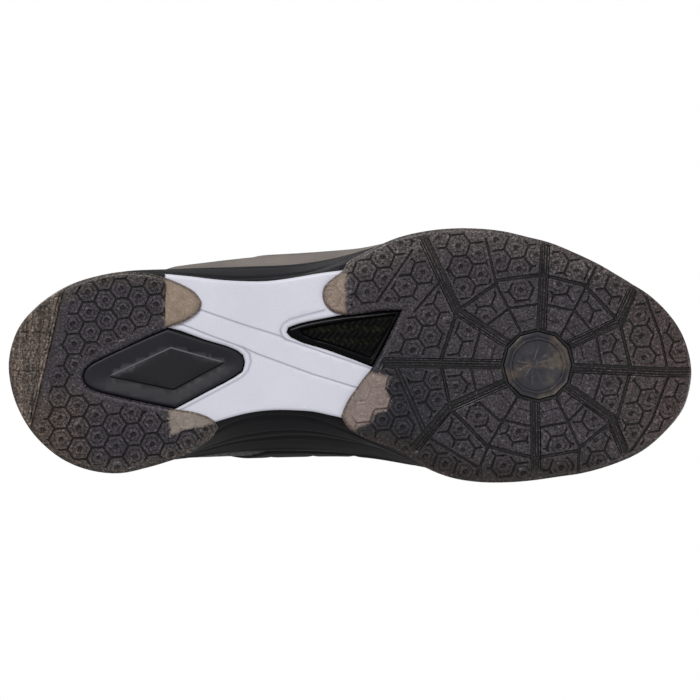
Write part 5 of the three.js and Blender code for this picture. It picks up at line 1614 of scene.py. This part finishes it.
def tongue():
    ns, nv = (60, 22) if QUICK else (190, 60)
    s = np.linspace(0, 10, ns)
    # corners of the free end are rounded in plan
    a = np.linspace(-math.pi / 2, math.pi / 2, nv)
    v = np.sin(a)
    Sg, Vg = np.meshgrid(s, v, indexing="ij")
    th = line(T_THICK, Sg)[..., 0]
    end = np.sqrt(np.clip(1 - ((Sg - 9.2) / 0.8).clip(0, 1) ** 2, 0, 1))
    Vs = Vg * (0.62 + 0.38 * end)
    edge = np.sqrt(np.clip(1 - np.abs(Vg) ** 6, 0, 1)) * np.sqrt(np.clip(1 - ((Sg - 9.7) / 0.3).clip(0, 1) ** 2, 0.05, 1))
    # quilted blocks on the padded upper part, a flat woven strip lower down
    q = smooth(5.4, 6.2, Sg)
    chan = np.exp(-(((Sg - 6.9) / 0.07) ** 2)) + np.exp(-(((Sg - 7.9) / 0.07) ** 2)) + np.exp(-(((Sg - 8.9) / 0.07) ** 2)) + 0.8 * np.exp(-(((np.abs(Vg) - 0.72) / 0.04) ** 2))
    puff = 0.6 * q * (1 - np.clip(chan, 0, 1)) * (1 - Vg**2) - 0.5 * q * np.clip(chan, 0, 1)
    low = 0.22 * np.clip(hexwave(Sg * 11.5, Vg * 19, 3.6), 0, 1) * (1 - q)
    mid = th / 2
    A = tongue_point(Sg, Vs, mid - mid * edge - (puff - low) * 0.8 * (edge > 0.3))
    B = tongue_point(Sg, Vs, mid + mid * edge)
    vv, f = shell(A, B)
    st = cloth_st(A).reshape(-1, 3)
    o = build("tongue_body", vv, f, M["knit"], body=None, slot="knit_black", point={"st": np.concatenate([st, st]), "hole": np.zeros(len(vv))}, sharp=75)
    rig.replaces(o, "tongue", "tongue_pad")
    m = lambda p: tuple(((p + OFF) * 0.001).tolist())
    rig.blend(o, "shoe", "tongue_flap", m(tongue_point(6.35, 0, 2.0)), m(tongue_point(7.25, 0, 2.0)))
    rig.padded(o, fill=0.7)


def tongue_top(x, y):
    c = line(T_LINE, np.arange(201) / 20)
    v = np.clip((y - c[:, 1]) / line(T_HALF, np.arange(201) / 20)[:, 0], -1, 1)
    q = tongue_point(np.arange(201) / 20, v, 0)
    return q[np.abs(q[:, 0] - x).argmin(), 2]


# ------------------------------------------------------------------ lace
def o1(t, w, d):
    return off(np.array([t]), np.array([w]), np.array([d]))[0]


LACE_R = 1.3
LIFT = LACE_R + 0.75


def on_tongue(p, lift):
    p = p.copy()
    p[2] = max(p[2], tongue_top(p[0], p[1]) + lift)
    return p


def strand(medial, high):
    eye = lambda k, m: 28 - EYELET_T[k] if m else EYELET_T[k]
    pts = [o1(eye(0, medial), 0.9, 1.3 + LACE_R + 0.5)]
    for k in range(6):
        t = eye(k, medial)
        pts += [o1(t, 0.9, 0), o1(t, 0.9, -4)]
        if k == 5:
            s = 1 if medial else -1
            pts += [o1(t, 0.85, -6), o1(t + 0.1 * s, 0.76, -6.6), o1(t + 0.15 * s, 0.68, -7)]
            break
        pts.append(on_tongue(o1(t, 0.95, -5.4), LACE_R + 0.4))
        b = eye(k + 1, not medial)
        fr, to = on_tongue(o1(t, 1.0, -5.1), LACE_R + 0.5), o1(b, 1, 1.3 + LACE_R + 1)
        m = (fr + to) / 2
        m[2] = tongue_top(m[0], m[1]) + (LIFT + 3.3 if (k % 2 == 0) == high else LIFT)
        pts += [fr, on_tongue(fr + (to - fr) * 0.2, LIFT), m, on_tongue(fr + (to - fr) * 0.8, LIFT + 0.6), to, o1(b, 0.94, 1.3 + LACE_R + 0.7), o1(b, 0.9, 1.3 + LACE_R + 0.2)]
        medial = not medial
    return pts


def centripetal(P, n):
    P = A_(P)
    P = np.vstack([2 * P[0] - P[1], P, 2 * P[-1] - P[-2]])
    out = []
    for i in range(1, len(P) - 2):
        p0, p1, p2, p3 = P[i - 1 : i + 3]
        t = [0.0]
        for a, b in ((p0, p1), (p1, p2), (p2, p3)):
            t.append(t[-1] + max(1e-4, np.linalg.norm(b - a)) ** 0.5)
        k = max(2, int(np.linalg.norm(p2 - p1) / n))
        for s in np.linspace(t[1], t[2], k, endpoint=False):
            A1 = (t[1] - s) / (t[1] - t[0]) * p0 + (s - t[0]) / (t[1] - t[0]) * p1
            A2 = (t[2] - s) / (t[2] - t[1]) * p1 + (s - t[1]) / (t[2] - t[1]) * p2
            A3 = (t[3] - s) / (t[3] - t[2]) * p2 + (s - t[2]) / (t[3] - t[2]) * p3
            B1 = (t[2] - s) / (t[2] - t[0]) * A1 + (s - t[0]) / (t[2] - t[0]) * A2
            B2 = (t[3] - s) / (t[3] - t[1]) * A2 + (s - t[1]) / (t[3] - t[1]) * A3
            out.append((t[2] - s) / (t[2] - t[1]) * B1 + (s - t[1]) / (t[2] - t[1]) * B2)
    out.append(P[-2])
    return A_(out)


def sweep(path, section, ref):
    """Carries a closed section (m, 2) along a path, turned towards ref where it can be."""
    d = unit(np.gradient(path, axis=0))
    n = np.zeros_like(path)
    cur = unit(ref - (ref @ d[0]) * d[0])
    for i in range(len(path)):
        cur = cur - (cur @ d[i]) * d[i]
        want = ref - (ref @ d[i]) * d[i]
        l = np.linalg.norm(want)
        if l > 0.2:
            if cur @ want < 0:
                want = -want
            cur = unit(cur) + want / l * 0.12 * l
        cur = unit(cur)
        n[i] = cur
    b = np.cross(d, n)
    sec = section(len(path))
    return path[:, None] + n[:, None] * sec[..., 1:2] + b[:, None] * sec[..., 0:1]


def tube(name, ring, mat, **kw):
    n, m = ring.shape[:2]
    ix = np.arange(n * m).reshape(n, m)
    ix = np.hstack([ix, ix[:, :1]])
    q = np.stack([ix[:-1, :-1], ix[1:, :-1], ix[1:, 1:], ix[:-1, 1:]], -1).reshape(-1, 4)
    v = np.vstack([ring.reshape(-1, 3), ring[0].mean(0)[None], ring[-1].mean(0)[None]])
    a = n * m
    cap = np.array([[a, ix[0, k + 1], ix[0, k]] for k in range(m)] + [[a + 1, ix[-1, k], ix[-1, k + 1]] for k in range(m)])
    return v, [q, cap]


def lacing():
    a, b = strand(False, True), strand(True, False)
    eL, eM = o1(EYELET_T[0], 1, 1.3 + LACE_R + 0.6), o1(28 - EYELET_T[0], 1, 1.3 + LACE_R + 0.6)
    mid = (eL + eM) / 2
    mid[2] = max(tongue_top(mid[0], mid[1]) + LIFT, mid[2] + 0.8)
    route = [*a[::-1], eL, mid, eM, *b]
    path = centripetal(route, 1.4 if QUICK else 0.55)
    ln = np.concatenate([[0], np.cumsum(np.linalg.norm(np.diff(path, axis=0), axis=1))])

    def section(n):
        m = 12 if QUICK else 20
        th = np.linspace(0, 2 * math.pi, m, endpoint=False)
        L, TH = ln[:, None], th[None]
        # two sets of strands wound in opposite ways
        braid = 0.11 * np.sign(np.sin(L * 2.4 + TH * 4)) * np.sin(L * 2.4 + TH * 4) * np.sin(L * 2.4 - TH * 4)
        rx, ry = 1.55 + braid, 0.92 + braid
        sup = (np.abs(np.cos(TH)) ** 2.4 + np.abs(np.sin(TH)) ** 2.4) ** (-1 / 2.4)
        return np.stack([rx * sup * np.cos(TH), ry * sup * np.sin(TH)], -1)

    ring = sweep(path, section, unit(A_([0.46, 0, 0.89])))
    v, f = tube("lace", ring, M["lace"])
    m = ring.shape[1]
    st = np.zeros((len(v), 3))
    st[: len(path) * m, 0] = np.repeat(ln, m) * 0.001
    st[: len(path) * m, 1] = np.tile(np.linspace(0, 0.0054, m), len(path))
    build("lace_cord", v, f, M["lace"], replaces=["lace"], slot="lace_black", point={"st": st, "hole": np.zeros(len(v))}, sharp=80)
    for nm, (p, q) in (("aglet_lateral", route[:2]), ("aglet_medial", (route[-1], route[-2]))):
        d = unit(p - q)
        pts = p + d * np.linspace(0.4, 14, 26)[:, None]

        def sec(n):
            th = np.linspace(0, 2 * math.pi, 18, endpoint=False)
            k = np.linspace(0, 1, n)[:, None]
            r = 1.12 * np.interp(k, [0, 0.03, 0.06, 0.09, 0.12, 0.15, 0.9, 0.97, 1], [0.92, 1.0, 1.0, 0.93, 0.93, 1.0, 0.97, 0.88, 0.6])
            return np.stack([r * np.cos(th), r * np.sin(th)], -1)

        v, f = tube(nm, sweep(pts, sec, A_([0, 1.0, 0.0])), M["gloss"])
        build(nm + "_tip", v, f, M["gloss"], replaces=[nm], slot="gloss_black_tpu", sharp=50)
    # eyelet rims, one mesh
    V, F, k = [], [], 0
    for p, n in zip(EYE_P, EYE_N):
        e1 = unit(np.cross(n, A_([0, 0, 1.0])))
        e2 = np.cross(n, e1)
        c = p + n * 2.35
        na, nb = 28, 10
        th = np.linspace(0, 2 * math.pi, na, endpoint=False)
        ph = np.linspace(0, 2 * math.pi, nb, endpoint=False)
        TH, PH = np.meshgrid(th, ph, indexing="ij")
        r = 2.95 + 0.62 * np.cos(PH)
        h = np.where(np.sin(PH) > 0, 0.42, 3.2) * np.sin(PH)
        pts = c + e1 * (r * np.cos(TH))[..., None] + e2 * (r * np.sin(TH))[..., None] + n * h[..., None]
        ix = k + np.arange(na * nb).reshape(na, nb)
        ix = np.vstack([ix, ix[:1]])
        ix = np.hstack([ix, ix[:, :1]])
        F.append(np.stack([ix[:-1, :-1], ix[1:, :-1], ix[1:, 1:], ix[:-1, 1:]], -1).reshape(-1, 4))
        V.append(pts.reshape(-1, 3))
        k += na * nb
    build("eyelet_rims", np.vstack(V), [np.vstack(F)], M["gloss"], slot="gloss_black_tpu", sharp=60)


def stitches():
    """Rows of thread along the overlays and the collar."""
    rows = []

    def row(ts, ws, d, pitch=3.1):
        g = off(ts, ws, d)
        L = np.concatenate([[0], np.cumsum(np.linalg.norm(np.diff(g, axis=0), axis=1))])
        k = int(L[-1] / pitch)
        at_ = lambda x: np.array([np.interp(x, L, g[:, i]) for i in range(3)]).T
        n = normal(ts, ws)
        nn = lambda x: unit(np.array([np.interp(x, L, n[:, i]) for i in range(3)]).T)
        for i in range(k):
            a, b = (i + 0.12) * pitch, (i + 0.82) * pitch
            rows.append((at_(np.array([a]))[0], at_(np.array([b]))[0], nn(np.array([(a + b) / 2]))[0]))

    t = np.linspace(-8.7, 8.7, 500)
    row(t, np.full(500, 0.80), np.full(500, 1.22))
    row(t, np.full(500, 0.975), np.full(500, 1.22))
    for a, b, d in ((9.4, 13.3, 0.1), (14.7, 18.6, 0.1)):
        t = np.linspace(a, b, 300)
        row(t, np.full(300, 0.915), np.full(300, d))
    for s in (1, -1):
        w = np.linspace(0.52, 0.94, 60)
        row(14 + s * 0.36 + 0 * w, w, np.full(60, 1.25))
        w = np.linspace(0.47, 0.9, 80)
        row((14 + s * 8.5) % 28 + 0 * w + 0.07 * s, w * 0.62, np.full(80, 0.12))
    V, F, k = [], [], 0
    for a, b, n in rows:
        d = b - a
        l = np.linalg.norm(d)
        d = d / l
        s = np.cross(d, n)
        m = 6
        th = np.linspace(0, 2 * math.pi, m, endpoint=False)
        ring = []
        for x, r, h in ((0.0, 0.10, -0.15), (0.18, 0.27, 0.05), (0.5, 0.33, 0.12), (0.82, 0.27, 0.05), (1.0, 0.10, -0.15)):
            c = a + d * l * x + n * h
            ring.append(c + s * (r * np.cos(th))[:, None] + n * (r * 0.8 * np.sin(th))[:, None])
        ring = np.array(ring)
        q = len(ring)
        ix = k + np.arange(q * m).reshape(q, m)
        ix2 = np.hstack([ix, ix[:, :1]])
        F.append(np.stack([ix2[:-1, :-1], ix2[1:, :-1], ix2[1:, 1:], ix2[:-1, 1:]], -1).reshape(-1, 4))
        F.append(np.array([[ix[0, 0], ix[0, 5], ix[0, 4], ix[0, 3]], [ix[0, 0], ix[0, 3], ix[0, 2], ix[0, 1]], [ix[-1, 0], ix[-1, 1], ix[-1, 2], ix[-1, 3]], [ix[-1, 0], ix[-1, 3], ix[-1, 4], ix[-1, 5]]]))
        V.append(ring.reshape(-1, 3))
        k += q * m
    build("stitching", np.vstack(V), [np.vstack(F)], M["thread"], slot="lace_black", sharp=80)


def cad_materials():
    for node, m in (("strobel_board", "board"), ("toe_puff", "board"), ("heel_counter", "board"), ("heel_cushion", "foam"), ("forefoot_cushion", "foam")):
        o = frame["nodes"][node]
        if not o.data.materials:
            o.data.materials.append(None)
        for s in o.material_slots:
            s.material = M[m]


# ------------------------------------------------------------------ camera, light, floor
def studio():
    sc = bpy.context.scene
    sc.view_settings.view_transform = "Standard"
    cam = bpy.data.objects.new("camera", bpy.data.cameras.new("camera"))
    sc.collection.objects.link(cam)
    dist = 2.2
    cam.location = (-0.0002, -0.00226, 0.002 - dist)
    cam.rotation_euler = (math.pi, 0, 0)
    cam.data.sensor_width = 36
    cam.data.lens = 36 * dist / 0.3037
    cam.data.clip_start, cam.data.clip_end = 0.01, 20
    sc.camera = cam
    w = bpy.data.worlds.new("world")
    sc.world = w
    w.use_nodes = True
    t = w.node_tree
    t.nodes.clear()
    out, mixn, path = t.nodes.new("ShaderNodeOutputWorld"), t.nodes.new("ShaderNodeMixShader"), t.nodes.new("ShaderNodeLightPath")
    a, b = t.nodes.new("ShaderNodeBackground"), t.nodes.new("ShaderNodeBackground")
    a.inputs[0].default_value = (1, 1, 1, 1)
    a.inputs[1].default_value = WORLD
    b.inputs[0].default_value = (1, 1, 1, 1)
    b.inputs[1].default_value = 1.0
    t.links.new(path.outputs["Is Camera Ray"], mixn.inputs[0])
    t.links.new(a.outputs[0], mixn.inputs[1])
    t.links.new(b.outputs[0], mixn.inputs[2])
    t.links.new(mixn.outputs[0], out.inputs[0])

    def area(name, loc, aim, size, power):
        l = bpy.data.lights.new(name, "AREA")
        l.shape, l.size, l.size_y, l.energy = "RECTANGLE", size[0], size[1], power
        o = bpy.data.objects.new(name, l)
        sc.collection.objects.link(o)
        o.location = loc
        o.rotation_euler = (Vector(aim) - Vector(loc)).to_track_quat("-Z", "Y").to_euler()
        o.visible_camera = False
        return o

    for args in LIGHTS:
        area(*args)
    # floor: seen from above only, so that the underside view passes through it
    g = 1.6
    me = bpy.data.meshes.new("floor")
    n = 8
    vs = [(-g + 2 * g * i / n, -g + 2 * g * j / n, -0.0004) for i in range(n + 1) for j in range(n + 1)]
    fs = [(i * (n + 1) + j, (i + 1) * (n + 1) + j, (i + 1) * (n + 1) + j + 1, i * (n + 1) + j + 1) for i in range(n) for j in range(n)]
    me.from_pydata(vs, [], fs)
    o = bpy.data.objects.new("floor", me)
    sc.collection.objects.link(o)
    k = Mat("floor_pale", lin(226, 226, 226), 0.8)
    t = k.t
    geo, tr, mx = t.nodes.new("ShaderNodeNewGeometry"), t.nodes.new("ShaderNodeBsdfTransparent"), t.nodes.new("ShaderNodeMixShader")
    outn = t.nodes["Material Output"]
    t.links.new(geo.outputs["Backfacing"], mx.inputs[0])
    t.links.new(k.b.outputs[0], mx.inputs[1])
    t.links.new(tr.outputs[0], mx.inputs[2])
    t.links.new(mx.outputs[0], outn.inputs[0])
    me.materials.append(k.m)
    o.visible_shadow = False
    o.visible_diffuse = False
    o.visible_glossy = False
    o.visible_transmission = False
    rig.stage(o)


WORLD = 0.3
LIGHTS = [
    ("key_below", (-0.35, -0.75, -1.05), (0, 0, 0.02), (0.6, 0.6), 11),
    ("fill_below", (0.6, 0.5, -0.9), (0, 0, 0.02), (0.8, 0.8), 3.2),
    ("key_above", (-0.9, -1.2, 0.75), (0, 0, 0.05), (0.9, 0.9), 10),
    ("fill_above", (1.2, 0.3, 0.8), (0, 0, 0.05), (0.9, 0.9), 7),
]

outsole()
plate()
disc()
midsole()
upper()
linings()
inside_parts()
tongue()
lacing()
stitches()
cad_materials()
studio()

vis_lo, vis_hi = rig.bounds()
with open("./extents.json", "w") as f:
    json.dump({"cad": [list(cad_lo), list(cad_hi)], "visual": [list(vis_lo), list(vis_hi)]}, f)
